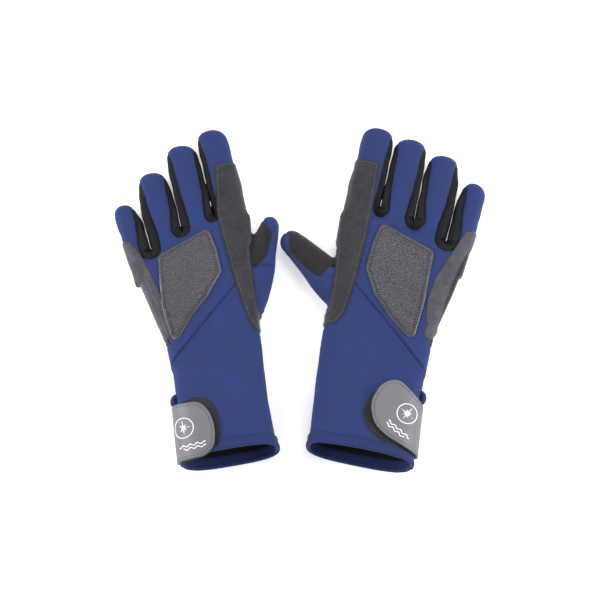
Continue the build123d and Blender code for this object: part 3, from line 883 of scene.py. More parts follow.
def jerseyFinish(name, low, high, lint, scale=900.0, rough=0.82, bump=0.35, sheen=0.25):
    material, w, shader = startMaterial(name, Sheen_Weight=sheen, Sheen_Roughness=0.45, Specular_IOR_Level=0.3)
    shader.inputs["Sheen Tint"].default_value = toLinear([min(255, c * 1.5) for c in high])
    cloth = placeGroup(w, knit, Scale=scale, Lint=lint)
    tone = w.mix(cloth.outputs["Shade"], toLinear(low), toLinear(high))
    # painted shade: the hollows between the knit loops are drawn darker
    loops = w.mix(w.ramp(cloth.outputs["Height"], 0.1, 0.9), toLinear([c * 0.84 for c in low]), tone)
    speckled = w.mix(cloth.outputs["Specks"], loops, toLinear([min(255, c * 1.7 + 20) for c in high]))
    w.join(speckled, shader.inputs["Base Color"])
    w.join(w.ramp(cloth.outputs["Shade"], 0.0, 1.0, rough - 0.06, rough + 0.06), shader.inputs["Roughness"])
    bumpInto(w, shader, cloth.outputs["Height"], bump, 0.0003)
    return material


def suedeFinish(name, low, high, rough=0.86, edge=1.2, bump=0.55):
    material, w, shader = startMaterial(name, Sheen_Weight=0.22, Sheen_Roughness=0.5, Specular_IOR_Level=0.3)
    fibres = placeGroup(w, nap)
    tone = w.mix(fibres.outputs["Shade"], toLinear(low), toLinear(high))
    # painted shade: the band along the panel's edge is drawn darker, where the raised panel rounds down
    edgeShade = placeGroup(w, border, Width=edge)
    w.join(w.mix(w.maths("MULTIPLY", edgeShade.outputs["Mask"], 0.5), tone, toLinear([c * 0.72 for c in low])),
           shader.inputs["Base Color"])
    w.join(w.ramp(fibres.outputs["Shade"], 0.0, 1.0, rough + 0.05, rough - 0.08), shader.inputs["Roughness"])
    bumpInto(w, shader, fibres.outputs["Height"], bump, 0.0006)
    return material


# embossed leather with a plain pressed border outside the stitching
def pebbledFinish(name, low, high):
    material, w, shader = startMaterial(name, Specular_IOR_Level=0.5)
    grain = placeGroup(w, pebble, Scale=680.0)
    plain = placeGroup(w, border, Width=1.6).outputs["Mask"]
    crease = w.maths("MULTIPLY", grain.outputs["Crease"], w.maths("SUBTRACT", 1.0, plain))
    pressed = w.mix(plain, toLinear(high), toLinear([c * 0.8 for c in high]))
    # painted shade: the creases between the pebbles take the dark colour
    tone = w.mix(crease, pressed, toLinear(low))
    mottle = placeGroup(w, nap)
    w.join(w.mix(w.maths("MULTIPLY", mottle.outputs["Shade"], 0.25), tone, toLinear([c * 1.12 for c in high])),
           shader.inputs["Base Color"])
    w.join(w.ramp(crease, 0.0, 1.0, 0.36, 0.62), shader.inputs["Roughness"])
    flat = w.maths("MULTIPLY", grain.outputs["Height"], w.maths("SUBTRACT", 1.0, plain))
    bumpInto(w, shader, flat, 0.85, 0.0008)
    return material


# smooth coated strap with the faintest orange-peel, and painted shade along its edges
def rubberFinish(name, low, high, rough=0.55):
    material, w, shader = startMaterial(name, Specular_IOR_Level=0.45, Coat_Weight=0.06, Coat_Roughness=0.4)
    marks = placeGroup(w, nap, Scale=2200.0)
    tone = w.mix(w.maths("MULTIPLY", marks.outputs["Shade"], 0.6), toLinear(low), toLinear(high))
    # painted shade: the band along the plate's bevelled edge is drawn darker
    edgeShade = placeGroup(w, border, Width=1.0)
    w.join(w.mix(w.maths("MULTIPLY", edgeShade.outputs["Mask"], 0.6), tone, toLinear([c * 0.72 for c in low])),
           shader.inputs["Base Color"])
    w.join(w.ramp(marks.outputs["Shade"], 0.0, 1.0, rough - 0.08, rough + 0.08), shader.inputs["Roughness"])
    bumpInto(w, shader, marks.outputs["Height"], 0.16, 0.0003)
    return material


def threadFinish(name, colour):
    material, w, shader = startMaterial(name, Sheen_Weight=0.2, Specular_IOR_Level=0.4)
    place = w.node("ShaderNodeTexCoord").outputs["Object"]
    twist = w.node("ShaderNodeTexWave", Vector=place, Scale=1500.0, Distortion=3.0, Detail=1.0)
    # painted shade: the grooves of the twist are drawn darker
    w.join(w.mix(twist.outputs["Fac"], toLinear([c * 0.7 for c in colour]), toLinear(colour)),
           shader.inputs["Base Color"])
    w.join(w.ramp(twist.outputs["Fac"], 0.0, 1.0, 0.55, 0.75), shader.inputs["Roughness"])
    bumpInto(w, shader, twist.outputs["Fac"], 0.3, 0.0002)
    return material


def printFinish(name, colour):
    material, w, shader = startMaterial(name, Specular_IOR_Level=0.4)
    place = w.node("ShaderNodeTexCoord").outputs["Object"]
    ink = w.node("ShaderNodeTexNoise", Vector=place, Scale=900.0, Detail=3.0)
    w.join(w.mix(w.ramp(ink.outputs["Fac"], 0.3, 0.7), toLinear([c * 0.9 for c in colour]), toLinear(colour)),
           shader.inputs["Base Color"])
    w.join(w.ramp(ink.outputs["Fac"], 0.3, 0.7, 0.45, 0.6), shader.inputs["Roughness"])
    return material


finishes = dict(
    blue=jerseyFinish("blueNeoprene", (32, 47, 97), (42, 59, 119), 0.5),
    knit=jerseyFinish("blackKnit", (13, 13, 16), (21, 21, 25), 0.25, scale=620.0, bump=0.7, sheen=0.06),
    palm=suedeFinish("blackPalm", (17, 17, 19), (26, 26, 29), edge=0.6),
    thumb=suedeFinish("blackThumb", (17, 17, 20), (25, 25, 29), edge=0.7),
    lining=jerseyFinish("blackLining", (10, 10, 13), (18, 18, 22), 0.15, scale=520.0, bump=0.5, sheen=0.08),
    hem=jerseyFinish("navyBinding", (30, 44, 92), (38, 54, 110), 0.35),
    suede=suedeFinish("greySuede", (35, 35, 39), (47, 47, 52)),
    # partly painted highlight: a lighter copy of the grey suede for the little finger's guard, partly its own paler
    # tone and partly the light on that side
    paleSuedeWithPaintedHighlight=suedeFinish("paleSuedeWithPaintedHighlight", (56, 56, 62), (76, 75, 82)),
    # painted shade: the pebbled leather's low colour is the shade drawn into its creases
    pebbled=pebbledFinish("pebbledLeather", (36, 36, 41), (80, 79, 86)),
    strap=rubberFinish("strapRubber", (98, 97, 103), (108, 107, 113)),
    loop=suedeFinish("loopFabric", (24, 23, 26), (44, 42, 46), rough=0.92, edge=1.5, bump=0.9),
    hooks=rubberFinish("hookPlastic", (16, 16, 18), (26, 26, 29), rough=0.4),
    darkThread=threadFinish("darkThread", (7, 8, 16)),
    greyThread=threadFinish("greyThread", (84, 84, 90)),
    redThread=threadFinish("redThread", (70, 30, 34)),
    printing=printFinish("whitePrint", (235, 236, 240)),
)
print("finishes made")


# rows of small things along a path
def rowTree():
    tree, given, out = newGroup(
        "rowAlongPath",
        [("Geometry", "NodeSocketGeometry", None), ("Spacing", "NodeSocketFloat", 0.0024),
         ("Size", "NodeSocketVector", (0.0009, 0.0003, 0.0003)), ("Lean", "NodeSocketFloat", 0.0),
         ("Seed", "NodeSocketInt", 3), ("Finish", "NodeSocketMaterial", None)],
        [("Geometry", "NodeSocketGeometry")], "GeometryNodeTree")
    w = Wiring(tree)
    line = w.node("GeometryNodeMeshToCurve", Mesh=given.outputs["Geometry"])
    spaced = w.node("GeometryNodeResampleCurve", dict(mode="LENGTH"), Curve=line.outputs["Curve"],
                    Length=given.outputs["Spacing"])
    up = w.node("GeometryNodeInputNamedAttribute", dict(data_type="FLOAT_VECTOR"), Name="surfaceNormal")
    along = w.node("GeometryNodeInputTangent")
    turned = w.node("FunctionNodeAxesToRotation", dict(primary_axis="Z", secondary_axis="X"))
    w.join(up.outputs[0], turned.inputs[0])
    w.join(along.outputs[0], turned.inputs[1])
    lean = w.node("FunctionNodeRandomValue", dict(data_type="FLOAT"), Seed=given.outputs["Seed"])
    w.join(w.maths("MULTIPLY", given.outputs["Lean"], -1.0), lean.inputs[2])
    w.join(given.outputs["Lean"], lean.inputs[3])
    tilt = w.node("FunctionNodeAxisAngleToRotation", Axis=(0.0, 0.0, 1.0), Angle=lean.outputs[1])
    both = w.node("FunctionNodeRotateRotation", dict(rotation_space="LOCAL"),
                  Rotation=turned.outputs[0], Rotate_By=tilt.outputs[0])
    ball = w.node("GeometryNodeMeshUVSphere", Segments=7, Rings=5, Radius=0.5)
    soft = w.node("GeometryNodeSetShadeSmooth", Geometry=ball.outputs[0])
    placed = w.node("GeometryNodeInstanceOnPoints", Points=spaced.outputs["Curve"], Instance=soft.outputs[0],
                    Rotation=both.outputs[0], Scale=given.outputs["Size"])
    real = w.node("GeometryNodeRealizeInstances", Geometry=placed.outputs[0])
    finished = w.node("GeometryNodeSetMaterial", Geometry=real.outputs[0], Material=given.outputs["Finish"])
    w.join(finished.outputs[0], out.inputs["Geometry"])
    return tree


rowNodes = rowTree()


# a line with its points drawn towards their neighbours, open or closed
def relaxed(line, times):
    line = line.copy()
    closed = np.allclose(line[0], line[-1])
    for step in range(times):
        if closed:
            ring = line[:-1]
            ring = (np.roll(ring, 1, 0) + 2 * ring + np.roll(ring, -1, 0)) / 4
            line = np.concatenate([ring, ring[:1]])
        else:
            line[1:-1] = (line[:-2] + 2 * line[1:-1] + line[2:]) / 4
    return line


# stitches or hooks along chains of points with their normals, all one mesh
def rowAlong(name, chains, glove, material, spacing, size, lift=0.1, lean=0.0, seed=3):
    verts, edges, ups = [], [], []
    for line, normals in chains:
        if len(line) < 6:
            continue
        line = relaxed(line, 3)
        start = len(verts)
        verts += (glove.world(line + normals * lift) / 1000).tolist()
        ups += glove.direction(normals).tolist()
        edges += [(start + i, start + i + 1) for i in range(len(line) - 1)]
    mesh = bpy.data.meshes.new(name)
    mesh.from_pydata(verts, edges, [])
    attribute = mesh.attributes.new("surfaceNormal", "FLOAT_VECTOR", "POINT")
    attribute.data.foreach_set("vector", np.array(ups, np.float32).ravel())
    obj = bpy.data.objects.new(name, mesh)
    scene.collection.objects.link(obj)
    row = obj.modifiers.new("Row", "NODES")
    row.node_group = rowNodes
    values = dict(Spacing=spacing / 1000, Size=[v / 1000 for v in size], Lean=lean, Seed=seed, Finish=material)
    for item in rowNodes.interface.items_tree:
        if item.in_out == "INPUT" and item.name in values:
            row[item.identifier] = values[item.name]
    made = applied(obj)
    result = bpy.data.objects.new(f"{glove.side}_{name}", made)
    scene.collection.objects.link(result)
    return result


# a rolled edge following a line lying on the cloth
def tubeAlong(name, glove, line, normals, radius, material, squeeze=1.0, sides=10, closed=True):
    count = len(line)
    if closed:
        ahead = np.roll(line, -1, 0) - np.roll(line, 1, 0)
    else:
        ahead = np.gradient(line, axis=0)
    ahead /= np.maximum(np.linalg.norm(ahead, axis=1, keepdims=True), 1e-9)
    outward = np.cross(ahead, normals)
    outward /= np.linalg.norm(outward, axis=1, keepdims=True)
    verts = []
    for k in range(sides):
        angle = 2 * math.pi * k / sides
        verts.append(line + normals * math.cos(angle) * radius + outward * math.sin(angle) * radius * squeeze)
    verts = np.stack(verts, 1).reshape(-1, 3)
    faces = ringFaces(count, sides, closed)
    if not closed:
        faces.append(tuple(range(sides))[::-1])
        faces.append(tuple((count - 1) * sides + k for k in range(sides)))
    return meshObject(f"{glove.side}_{name}", glove.world(verts), faces, material)


# a closed mesh whose faces are turned outwards
def meshObject(name, verts, faces, material):
    mesh = bpy.data.meshes.new(name)
    mesh.from_pydata((np.asarray(verts) / 1000).tolist(), [], faces)
    mesh.polygons.foreach_set("use_smooth", [True] * len(mesh.polygons))
    mesh.materials.append(material)
    pts, tris = meshArrays(mesh)
    a, b, c = (pts[tris[:, i]] for i in range(3))
    if np.einsum("ij,ij->i", a - pts.mean(0), np.cross(b - a, c - a)).sum() < 0:
        mesh.flip_normals()
    mesh.update()
    obj = bpy.data.objects.new(name, mesh)
    scene.collection.objects.link(obj)
    return obj


# the cuff's skin as a sheet that straps and pads lie on
# finds places on the cuff from u, round the cuff (plan x near the top), and v, along it
class CuffSkin:
    def __init__(self, pts, tris):
        tree = BVHTree.FromPolygons(pts.tolist(), tris.tolist())
        self.rows = np.arange(-6.0, 110.0, 3.0)
        angles = np.radians(np.arange(-62, 122, 3.0))
        grid = np.zeros((len(self.rows), len(angles), 3))
        for i, v in enumerate(self.rows):
            for j, angle in enumerate(angles):
                way = Vector((math.cos(angle), 0, math.sin(angle)))
                hit = tree.ray_cast(Vector((8.0, max(v, 1.5), 23.0)), way)[0]
                grid[i, j] = hit if hit else (8 + way.x * 44, max(v, 1.5), 23 + way.z * 22)
            grid[i, :, 1] = v
        for step in range(3):
            grid[1:-1] = (grid[:-2] + 2 * grid[1:-1] + grid[2:]) / 4
        self.grid = grid
        along = np.gradient(grid, axis=0)
        across = np.gradient(grid, axis=1)
        normal = np.cross(across, along)
        normal /= np.linalg.norm(normal, axis=2, keepdims=True)
        if normal[:, :, 0].sum() + normal[:, :, 2].sum() < 0:
            normal = -normal
        self.normals = normal
        steps = np.linalg.norm(np.diff(grid, axis=1), axis=2)
        length = np.concatenate([np.zeros((len(self.rows), 1)), np.cumsum(steps, axis=1)], 1)
        self.u = np.empty_like(length)
        for i in range(len(self.rows)):
            top = np.argmin(np.abs(grid[i, :, 0] - 25) + (grid[i, :, 2] < 25) * 100)
            self.u[i] = grid[i, top, 0] - (length[i] - length[i, top])

    # the u where the skin's ulnar side is at this height
    def atHeight(self, z, v):
        i = int(np.argmin(np.abs(self.rows - v)))
        side = self.grid[i, :, 0] > 25
        return float(np.interp(z, self.grid[i, side, 2], self.u[i, side]))

    def place(self, u, v, lift):
        u, v = np.atleast_1d(u).astype(float), np.atleast_1d(v).astype(float)
        lift = np.broadcast_to(lift, u.shape)
        share = np.clip((v - self.rows[0]) / 3.0, 0, len(self.rows) - 1.001)
        low = share.astype(int)
        share = (share - low)[:, None]
        points, normals = np.empty((len(u), 3)), np.empty((len(u), 3))
        for k in range(len(u)):
            for target, source in ((points, self.grid), (normals, self.normals)):
                rows = []
                for i in (low[k], low[k] + 1):
                    order = self.u[i][::-1]
                    rows.append([np.interp(u[k], order, source[i, ::-1, c]) for c in range(3)])
                target[k] = np.array(rows[0]) * (1 - share[k]) + np.array(rows[1]) * share[k]
        normals /= np.linalg.norm(normals, axis=1, keepdims=True)
        return points + normals * lift[:, None], normals


# corner points to a closed run of evenly spaced points with rounded corners
def roundedOutline(corners, radius, step=1.2):
    corners = np.array(corners, float)
    run = []
    for k in range(len(corners)):
        before, here, after = corners[k - 1], corners[k], corners[(k + 1) % len(corners)]
        toBefore, toAfter = before - here, after - here
        reach = min(radius, 0.48 * np.linalg.norm(toBefore), 0.48 * np.linalg.norm(toAfter))
        a = here + toBefore / np.linalg.norm(toBefore) * reach
        b = here + toAfter / np.linalg.norm(toAfter) * reach
        for t in np.linspace(0, 1, 9):
            run.append((1 - t) ** 2 * a + 2 * t * (1 - t) * here + t * t * b)
    run = np.array(run)
    closed = np.concatenate([run, run[:1]])
    length = np.concatenate([[0], np.cumsum(np.linalg.norm(np.diff(closed, axis=0), axis=1))])
    count = int(length[-1] / step)
    stops = np.arange(count) * length[-1] / count
    return np.stack([np.interp(stops, length, closed[:, 0]), np.interp(stops, length, closed[:, 1])], 1)


# a flat plate wrapped on the cuff, with softly rounded edges
def platePiece(name, glove, skin, outline, bottom, top, material, bevel=0.5):
    middle = outline.mean(0)
    offset = outline - middle
    far = np.linalg.norm(offset, axis=1, keepdims=True)
    levels = [(0.0, bottom), (0.0, top - bevel)]
    levels += [(bevel * (1 - math.cos(a)), top - bevel + bevel * math.sin(a)) for a in (0.5, 1.05, 1.57)]
    rings, borders = [], []
    for inset, lift in levels:
        rings.append((outline - offset / far * inset, lift))
        borders.append(inset)
    for share in (0.93, 0.86, 0.76, 0.64, 0.5, 0.36, 0.2, 0.08):
        rings.append((middle + offset * share, top))
        borders.append(float((1 - share) * far.mean()))
    under = [(middle + offset * share, bottom) for share in (0.08, 0.2, 0.36, 0.5, 0.64, 0.76, 0.86, 0.93)]
    rings = under + rings
    borders = [0.0] * len(under) + borders
    count = len(outline)
    verts = [skin.place(ring[:, 0], ring[:, 1], lift)[0] for ring, lift in rings]
    faces = ringFaces(len(rings), count)
    faces.append(tuple(range(count))[::-1])
    faces.append(tuple((len(rings) - 1) * count + i for i in range(count)))
    obj = meshObject(f"{glove.side}_{name}", glove.world(np.concatenate(verts)), faces, material)
    mesh = obj.data
    attribute = mesh.attributes.new("border", "FLOAT", "POINT")
    attribute.data.foreach_set("value", np.repeat(np.array(borders, np.float32), count))
    return obj


def insetRun(outline, inset):
    ahead = np.roll(outline, -1, 0) - np.roll(outline, 1, 0)
    side = np.stack([-ahead[:, 1], ahead[:, 0]], 1)
    side /= np.linalg.norm(side, axis=1, keepdims=True)
    inward = side if ((outline.mean(0) - outline) * side).sum() > 0 else -side
    return outline + inward * inset


# a compass star in a ring, over two small waves, laid thinly on the strap
def printedPiece(name, glove, skin, shape, top):
    turn = math.radians(shape["strapTurn"])
    c, s = math.cos(turn), math.sin(turn)
    verts, faces = [], []

    def addStrip(left, right, closed, centre):
        rows = []
        for points in (left, right):
            p = np.array(points)
            u = centre[0] + p[:, 0] * c - p[:, 1] * s
            v = centre[1] + p[:, 0] * s + p[:, 1] * c
            rows.append((u, v))
        base = sum(len(x) for x in verts)
        count = len(left)
        for u, v in rows:
            verts.append(skin.place(u, v, top + 0.12)[0])
        for u, v in rows:
            verts.append(skin.place(u, v, top - 0.25)[0])
        for i in range(count if closed else count - 1):
            j = (i + 1) % count
            a, b, d, e = base + i, base + j, base + count + i, base + count + j
            under = 2 * count
            faces.extend([(a, b, e, d), (a + under, d + under, e + under, b + under),
                          (a, a + under, b + under, b), (d, e, e + under, d + under)])
        if not closed:
            under = 2 * count
            for i in (0, count - 1):
                a, d = base + i, base + count + i
                end = (a, d, d + under, a + under)
                faces.append(end if i == 0 else end[::-1])

    ringAngles = np.linspace(0, 2 * math.pi, 64, endpoint=False)
    addStrip([(8.6 * math.cos(a), 8.6 * math.sin(a)) for a in ringAngles],
             [(9.5 * math.cos(a), 9.5 * math.sin(a)) for a in ringAngles], True, shape["star"])
    starAngles = np.linspace(0, 2 * math.pi, 16, endpoint=False)
    reach = [(7.4, 1.7, 4.4, 1.7)[k % 4] for k in range(16)]
    outer = [(r * math.cos(a), r * math.sin(a)) for r, a in zip(reach, starAngles)]
    addStrip([(0.35 * math.cos(a), 0.35 * math.sin(a)) for a in starAngles], outer, True, shape["star"])
    for row in range(2):
        span = np.linspace(-12, 12 - 4 * row, 40)
        lower = [(x, 0.8 * math.sin(x * 1.0) - 3.0 * row) for x in span]
        addStrip(lower, [(x, y + 1.1) for x, y in lower], False, shape["wave"])
    pts = np.concatenate(verts)
    obj = meshObject(f"{glove.side}_{name}", glove.world(pts), faces, finishes["printing"])
    return obj


# attaches a hand piece to its hand's body, bakes every other piece's placement into its mesh, and hides the solids it
# stands for
def settle(obj, glove, body, nodes=()):
    hand = f"{glove.side}_hand"
    if body == "hand":
        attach(obj, hand)
    elif body == "strap":
        fold = glove.foldPoint
        start = Vector(glove.world(fold[None] - [[0, 0, 3.0]])[0] / 1000)
        end = Vector(glove.world(fold[None] + [[0, 0, 9.0]])[0] / 1000)
        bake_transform(obj)
    else:
        digit = glove.digits[body]
        pivot = glove.world(digit["pivot"][None])[0]
        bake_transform(obj)
    if nodes:
        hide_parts(*[f"{glove.side}_{n}" for n in nodes])
    return obj


def addBorder(obj, values):
    attribute = obj.data.attributes.new("border", "FLOAT", "POINT")
    attribute.data.foreach_set("value", np.asarray(values, np.float32))


def roundedLift(inside, height, radius):
    share = np.clip(inside / radius, 0, 1)
    return height * (0.25 + 0.75 * np.sqrt(1 - (1 - share) ** 2))


# in mm: how far apart, then length, width and height of each
stitchShape = dict(
    patches=dict(spacing=2.9, size=(2.0, 0.85, 0.65)),
    zigzag=dict(spacing=1.5, size=(0.45, 2.0, 0.4), lean=0.5),
    hem=dict(spacing=3.0, size=(2.0, 0.75, 0.6)),
    seam=dict(spacing=2.6, size=(1.3, 0.3, 0.28), lift=0.02),
    strap=dict(spacing=2.4, size=(1.7, 0.6, 0.45)),
    bristles=dict(spacing=0.85, size=(0.5, 0.7, 2.2), lift=0.0, lean=0.9, seed=7),
)
strapShape = dict(lifts=(1.3, 2.3, 4.2), corner=9.0, foldHeight=24.0)


def buildGlove(side):
    glove = Glove(side)
    pts, tris = masterForm(glove)
    normals = vertexNormals(pts, tris)
    print(side, "form", len(tris), "triangles")
    pts, normals, tris = cutPanels(glove, pts, normals, tris)
    fields = panelFields(glove, pts)
    relief = seamRelief(glove, pts)
    strapArea = outlineDistance(pts, [(u if u < 54 else 80, v) for u, v in glove.shape["tab"]])
    relief *= smooth(strapArea, -1, 6) * (pts[:, 2] > 20) + (pts[:, 2] <= 20)
    formed = pts + normals * relief[:, None]
    normals = vertexNormals(formed, tris)
    print(side, "panels cut", len(tris), "triangles")

    snap = lambda f: np.where(np.abs(f) < 0.13, 0.0, f)
    mean = lambda f: snap(f)[tris].mean(1)
    outside = mean(fields["mouth"]) > 0
    body = np.zeros(len(tris), int)
    for k, name in enumerate(digitNames):
        body[(mean(fields["own"][name]) < 0) & (body == 0)] = k + 1
    guard, little = mean(fields["guard"]) < 0, mean(fields["littleGuard"]) < 0
    patch, black = mean(fields["patch"]) < 0, mean(fields["black"]) < 0
    handPalm, aboveSeam = mean(fields["handPalm"]) < 0, mean(fields["cuffSeam"]) > 0
    hem = mean(fields["hem"]) > 0
    gusset = mean(fields["gusset"]) < 0
    palmPatch = mean(fields["palmPatch"]) < 0
    thumbBlack = mean(fields["thumbBlack"]) < 0
    used = ~outside
    hand = used & (body == 0)

    def piece(name, mask, finish, where, nodes=(), raised=0.0, radius=1.4, field=None, depth=None):
        if not mask.any():
            return None
        lift = None
        inside = -field if field is not None else np.full(len(pts), 9.0)
        if raised:
            lift = roundedLift(inside, raised, radius) if field is not None else np.full(len(pts), raised)
        obj = shellPiece(glove, name, formed, normals, tris[mask], finishes[finish], lift, depth)
        addBorder(obj, np.tile(inside[np.unique(tris[mask])], 2))
        return settle(obj, glove, where, nodes)

    knucklePad = piece("knucklePad", hand & patch, "pebbled", "hand", ["knuckle_patch"], 1.25, 1.6, fields["patch"])
    piece("indexGuardHand", hand & guard & ~patch, "suede", "hand", ["index_guard_hand"], 0.85, 1.3, fields["guard"])
    # the little finger's guard uses the lighter suede, partly painted highlight
    piece("littleGuardCloth", hand & little & ~patch & ~guard, "paleSuedeWithPaintedHighlight", "hand", ["little_guard"], 0.8, 1.3,
          fields["littleGuard"])
    free = hand & ~patch & ~guard & ~little
    piece("webKnit", free & black & aboveSeam, "knit", "hand")
    rest = free & ~(black & aboveSeam)
    piece("gussetKnit", rest & gusset, "knit", "hand", ["cuff_gusset"])
    piece("hemBand", rest & ~gusset & hem, "hem", "hand", ["cuff_hem"], hemShape["raised"], 0.9,
          -fields["hem"])
    rest = rest & ~gusset & ~hem
    thumbOnHand = rest & thumbBlack & aboveSeam & (mean(pts[:, 0]) < -30 * glove.shape["spread"])
    piece("thumbRootSuede", thumbOnHand, "thumb", "hand")
    rest = rest & ~thumbOnHand
    palmPad = piece("palmPad", rest & palmPatch & handPalm & aboveSeam, "suede", "hand", ["palm_patch"], 0.8, 1.3,
          fields["palmPatch"])
    rest = rest & ~(palmPatch & handPalm & aboveSeam)
    piece("palmCloth", rest & aboveSeam & handPalm, "palm", "hand", ["hand_palm"])
    piece("backCloth", rest & aboveSeam & ~handPalm, "blue", "hand", ["hand_back"])
    piece("cuffCloth", rest & ~aboveSeam, "blue", "hand", ["cuff"])
    deep = mean(pts[:, 1])
    piece("liningCloth", hand & ~hem & (deep < 175), "lining", "hand", ["lining"], -1.65, 1.0, None, 2.2)

    for k, name in enumerate(fingerNames):
        mine = used & (body == k + 1)
        low = mean(fields["palms"][name]) < 0
        onGuard = mine & guard
        onLittle = mine & little & ~guard
        strips = mine & black & ~guard & ~little
        plain = mine & ~onGuard & ~onLittle & ~strips
        piece(name + "BackCloth", plain & ~low, "blue", name, [name + "_back"])
        piece(name + "PalmCloth", plain & low, "palm", name, [name + "_palm"])
        piece(name + "SideKnit", strips, "knit", name, [name + "_sides"])
        if name == "index":
            piece("indexGuardFinger", onGuard, "suede", name, ["index_guard_finger"], 0.85, 1.3, fields["guard"])
        if onLittle.any():
            piece(name + "GuardFinger", onLittle, "paleSuedeWithPaintedHighlight", name, [], 0.8, 1.3, fields["littleGuard"])
    mine = used & (body == 5)
    piece("thumbBlackCloth", mine & thumbBlack, "thumb", "thumb", ["thumb_palm"])
    piece("thumbBlueCloth", mine & ~thumbBlack, "blue", "thumb", ["thumb_back"])

    # stitching
    vertexBody = np.zeros(len(pts), int)
    for k, name in enumerate(digitNames):
        vertexBody[(snap(fields["own"][name]) < 0) & (vertexBody == 0)] = k + 1
    onHand = vertexBody == 0
    top = pts[:, 2] > 10

    def rows(key, level, raised, where, turn=1):
        return isoLines(formed + normals * raised, turn * normals, tris, fields[key], level, where)

    def sew(name, chains, thread, sizes, where="hand"):
        if chains:
            settle(rowAlong(name, chains, glove, finishes[thread], **stitchShape[sizes]), glove, where, ())

    guardRows = rows("guard", -2.6, 0.85, onHand & top) + rows("littleGuard", -2.4, 0.8, onHand & top)
    sew("guardStitches", guardRows, "greyThread", "patches")
    sew("guardTipStitches", rows("guard", -2.6, 0.85, (vertexBody == 1) & top), "greyThread", "patches", "index")
    padRows = rows("patch", -3.4, 1.25, onHand & top) + rows("patch", -1.6, 1.25, onHand & top & (pts[:, 1] < 150))
    sew("padStitches", padRows, "darkThread", "patches")
    sew("padZigzag", rows("patch", -0.5, 0.9, onHand & top & (pts[:, 1] > 176)), "redThread", "zigzag")
    sew("hemStitches", rows("hem", 1.8, hemShape["raised"], onHand), "darkThread", "hem")
    clear = (fields["patch"] > 3) & (fields["guard"] > 3) & (fields["littleGuard"] > 3)
    sew("seamStitches", rows("cuffSeam", -2.4, 0.0, onHand & (pts[:, 2] > 14) & clear), "darkThread", "seam")

    # rolled edge round the mouth, its two lips joined
    line, ups = max(rows("mouth", -0.25, -0.45, onHand), key=lambda r: len(r[0]))
    line, ups = relaxed(line, 4)[:-1], relaxed(ups, 4)[:-1]
    ups /= np.linalg.norm(ups, axis=1, keepdims=True)
    roll = tubeAlong("mouthRoll", glove, line, ups, hemShape["roll"] + 0.15, finishes["hem"], 1.15, 12)
    settle(roll, glove, "hand", ())
    piece("mouthFacing", hand & hem, "hem", "hand", (), -1.6, 1.0, None, 2.4)
    sew("facingStitches", rows("hem", 1.6, -2.4, onHand, -1), "darkThread", "patches")

    # strap, pads, print
    skin = CuffSkin(formed, tris)
    shape = glove.shape
    foldHeight = strapShape["foldHeight"]

    def unrolled(corners):
        return [(u if u < 54 else skin.atHeight(foldHeight - 10, v), v) for u, v in corners]

    glove.foldPoint = skin.place(skin.atHeight(foldHeight, 28.0), 28.0, 3.0)[0][0]
    lifts = strapShape["lifts"]
    padOutline = roundedOutline(shape["pad"], 9.0)
    settle(platePiece("loopPad", glove, skin, padOutline, -0.4, lifts[0], finishes["loop"]), glove, "hand",
           ["loop_pad"])
    tabOutline = roundedOutline(unrolled(shape["tab"]), strapShape["corner"])
    inner = roundedOutline([(min(u, 49), v) for u, v in shape["tab"]], strapShape["corner"])
    settle(platePiece("hookPlate", glove, skin, insetRun(inner, 0.6), lifts[0] + 0.1, lifts[1], finishes["hooks"], 0.2),
           glove, "strap", ["hook_tape"])
    settle(platePiece("strapTab", glove, skin, tabOutline, lifts[1] + 0.02, lifts[2], finishes["strap"], 0.7), glove,
           "strap", ["strap_tab"])
    run = insetRun(tabOutline, 2.7)
    run = np.concatenate([run, run[:1]])
    places, ups = skin.place(run[:, 0], run[:, 1], lifts[2])
    sew("strapStitches", [(places, ups)], "darkThread", "strap", "strap")
    low = np.array([p for p in insetRun(inner, -0.2) if p[0] < 48])
    order = np.argsort(np.arctan2(low[:, 1] - low[:, 1].mean(), -(low[:, 0] - 48)))
    low = low[order]
    places, ups = skin.place(low[:, 0], low[:, 1], (lifts[0] + lifts[1]) / 2)
    outwards = places - places.mean(0)
    outwards -= (outwards * ups).sum(1, keepdims=True) * ups
    outwards /= np.linalg.norm(outwards, axis=1, keepdims=True)
    sew("hookBristles", [(places, outwards)], "hooks", "bristles", "strap")
    settle(printedPiece("strapPrint", glove, skin, shape, lifts[2]), glove, "strap", ())
    vs = [v for u, v in shape["tab"] if u >= 54]
    baseTop, baseEnd = skin.atHeight(foldHeight - 8, 28), skin.atHeight(3.0, 28)
    baseOutline = roundedOutline([(baseTop, max(vs)), (baseTop, min(vs)), (baseEnd, min(vs)), (baseEnd, max(vs))], 2.0)
    settle(platePiece("strapBase", glove, skin, baseOutline, 0.2, lifts[2] - 0.3, finishes["strap"], 0.6), glove,
           "hand", ["strap_base"])

    # pull loop at the edge of the cuff
    v = shape["loopAt"]
    arch = np.linspace(0.0, math.pi, 18)
    u = skin.atHeight(25.0, v)
    places, ups = skin.place(np.full(18, u), v - 4.4 * np.cos(arch), -0.8 + 3.4 * np.sin(arch))
    sideways = np.tile(np.array([[0.0, 0.0, 1.0]]), (18, 1))
    loop = tubeAlong("pullLoop", glove, places, sideways, 5.0, finishes["hem"], 0.62, 12, False)
    settle(loop, glove, "hand", ["pull_loop"])
    print(side, "glove done")


for side in ("left", "right"):
    buildGlove(side)

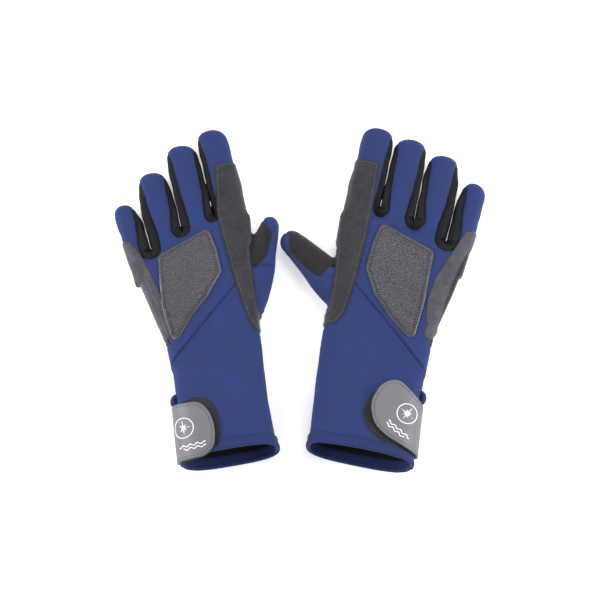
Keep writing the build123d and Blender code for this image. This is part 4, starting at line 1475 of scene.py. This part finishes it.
# floor, camera and light
low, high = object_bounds()
centre = (Vector(low) + Vector(high)) / 2
viewShape = dict(elevation=78.0, distance=1.7, spanAtObject=0.562, targetShift=(0.0, -0.0035, -0.010))
stageShape = dict(floorHalf=6.0, floorBelow=0.0004, floorGlow=0.45, worldStrength=0.42)
reach = stageShape["floorHalf"]
floorMesh = bpy.data.meshes.new("floor")
corners = [(-reach, -reach, 0), (reach, -reach, 0), (reach, reach, 0), (-reach, reach, 0)]
floorMesh.from_pydata(corners, [], [(0, 1, 2, 3)])
floorMaterial, _, floorShader = startMaterial("paleFloor", Specular_IOR_Level=0.1)
floorShader.inputs["Base Color"].default_value = (0.93, 0.93, 0.935, 1)
floorShader.inputs["Roughness"].default_value = 0.9
floorShader.inputs["Emission Color"].default_value = (1, 1, 1, 1)
floorShader.inputs["Emission Strength"].default_value = stageShape["floorGlow"]
floorMesh.materials.append(floorMaterial)
floor = bpy.data.objects.new("floor", floorMesh)
scene.collection.objects.link(floor)
floor.location.z = low[2] - stageShape["floorBelow"]

camera = bpy.data.objects.new("camera", bpy.data.cameras.new("camera"))
scene.collection.objects.link(camera)
lift = math.radians(viewShape["elevation"])
target = centre + Vector(viewShape["targetShift"])
camera.location = target + Vector((0, -math.cos(lift), math.sin(lift))) * viewShape["distance"]
camera.rotation_euler = (target - camera.location).to_track_quat("-Z", "Y").to_euler()
camera.data.sensor_width = 36
camera.data.lens = 36 * viewShape["distance"] / viewShape["spanAtObject"]
camera.data.clip_start = 0.01
scene.camera = camera

lights = [
    ("leftSoft", (-1.4, 0.1, 0.75), 0.9, 24.0),
    ("rightSoft", (1.4, 0.1, 0.75), 0.9, 24.0),
    ("topSoft", (0.25, 0.8, 1.7), 0.8, 13.0),
    ("frontSoft", (0.0, -1.5, 1.0), 1.0, 4.0),
]
for name, place, size, power in lights:
    data = bpy.data.lights.new(name, "AREA")
    data.shape = "SQUARE"
    data.size = size
    data.energy = power
    lamp = bpy.data.objects.new(name, data)
    lamp.location = place
    lamp.rotation_euler = (centre - Vector(place)).to_track_quat("-Z", "Y").to_euler()
    scene.collection.objects.link(lamp)
world = bpy.data.worlds.new("studio")
world.use_nodes = True
world.node_tree.nodes["Background"].inputs["Color"].default_value = (1, 1, 1, 1)
world.node_tree.nodes["Background"].inputs["Strength"].default_value = stageShape["worldStrength"]
scene.world = world
scene.view_settings.view_transform = "Standard"
print("stage set")
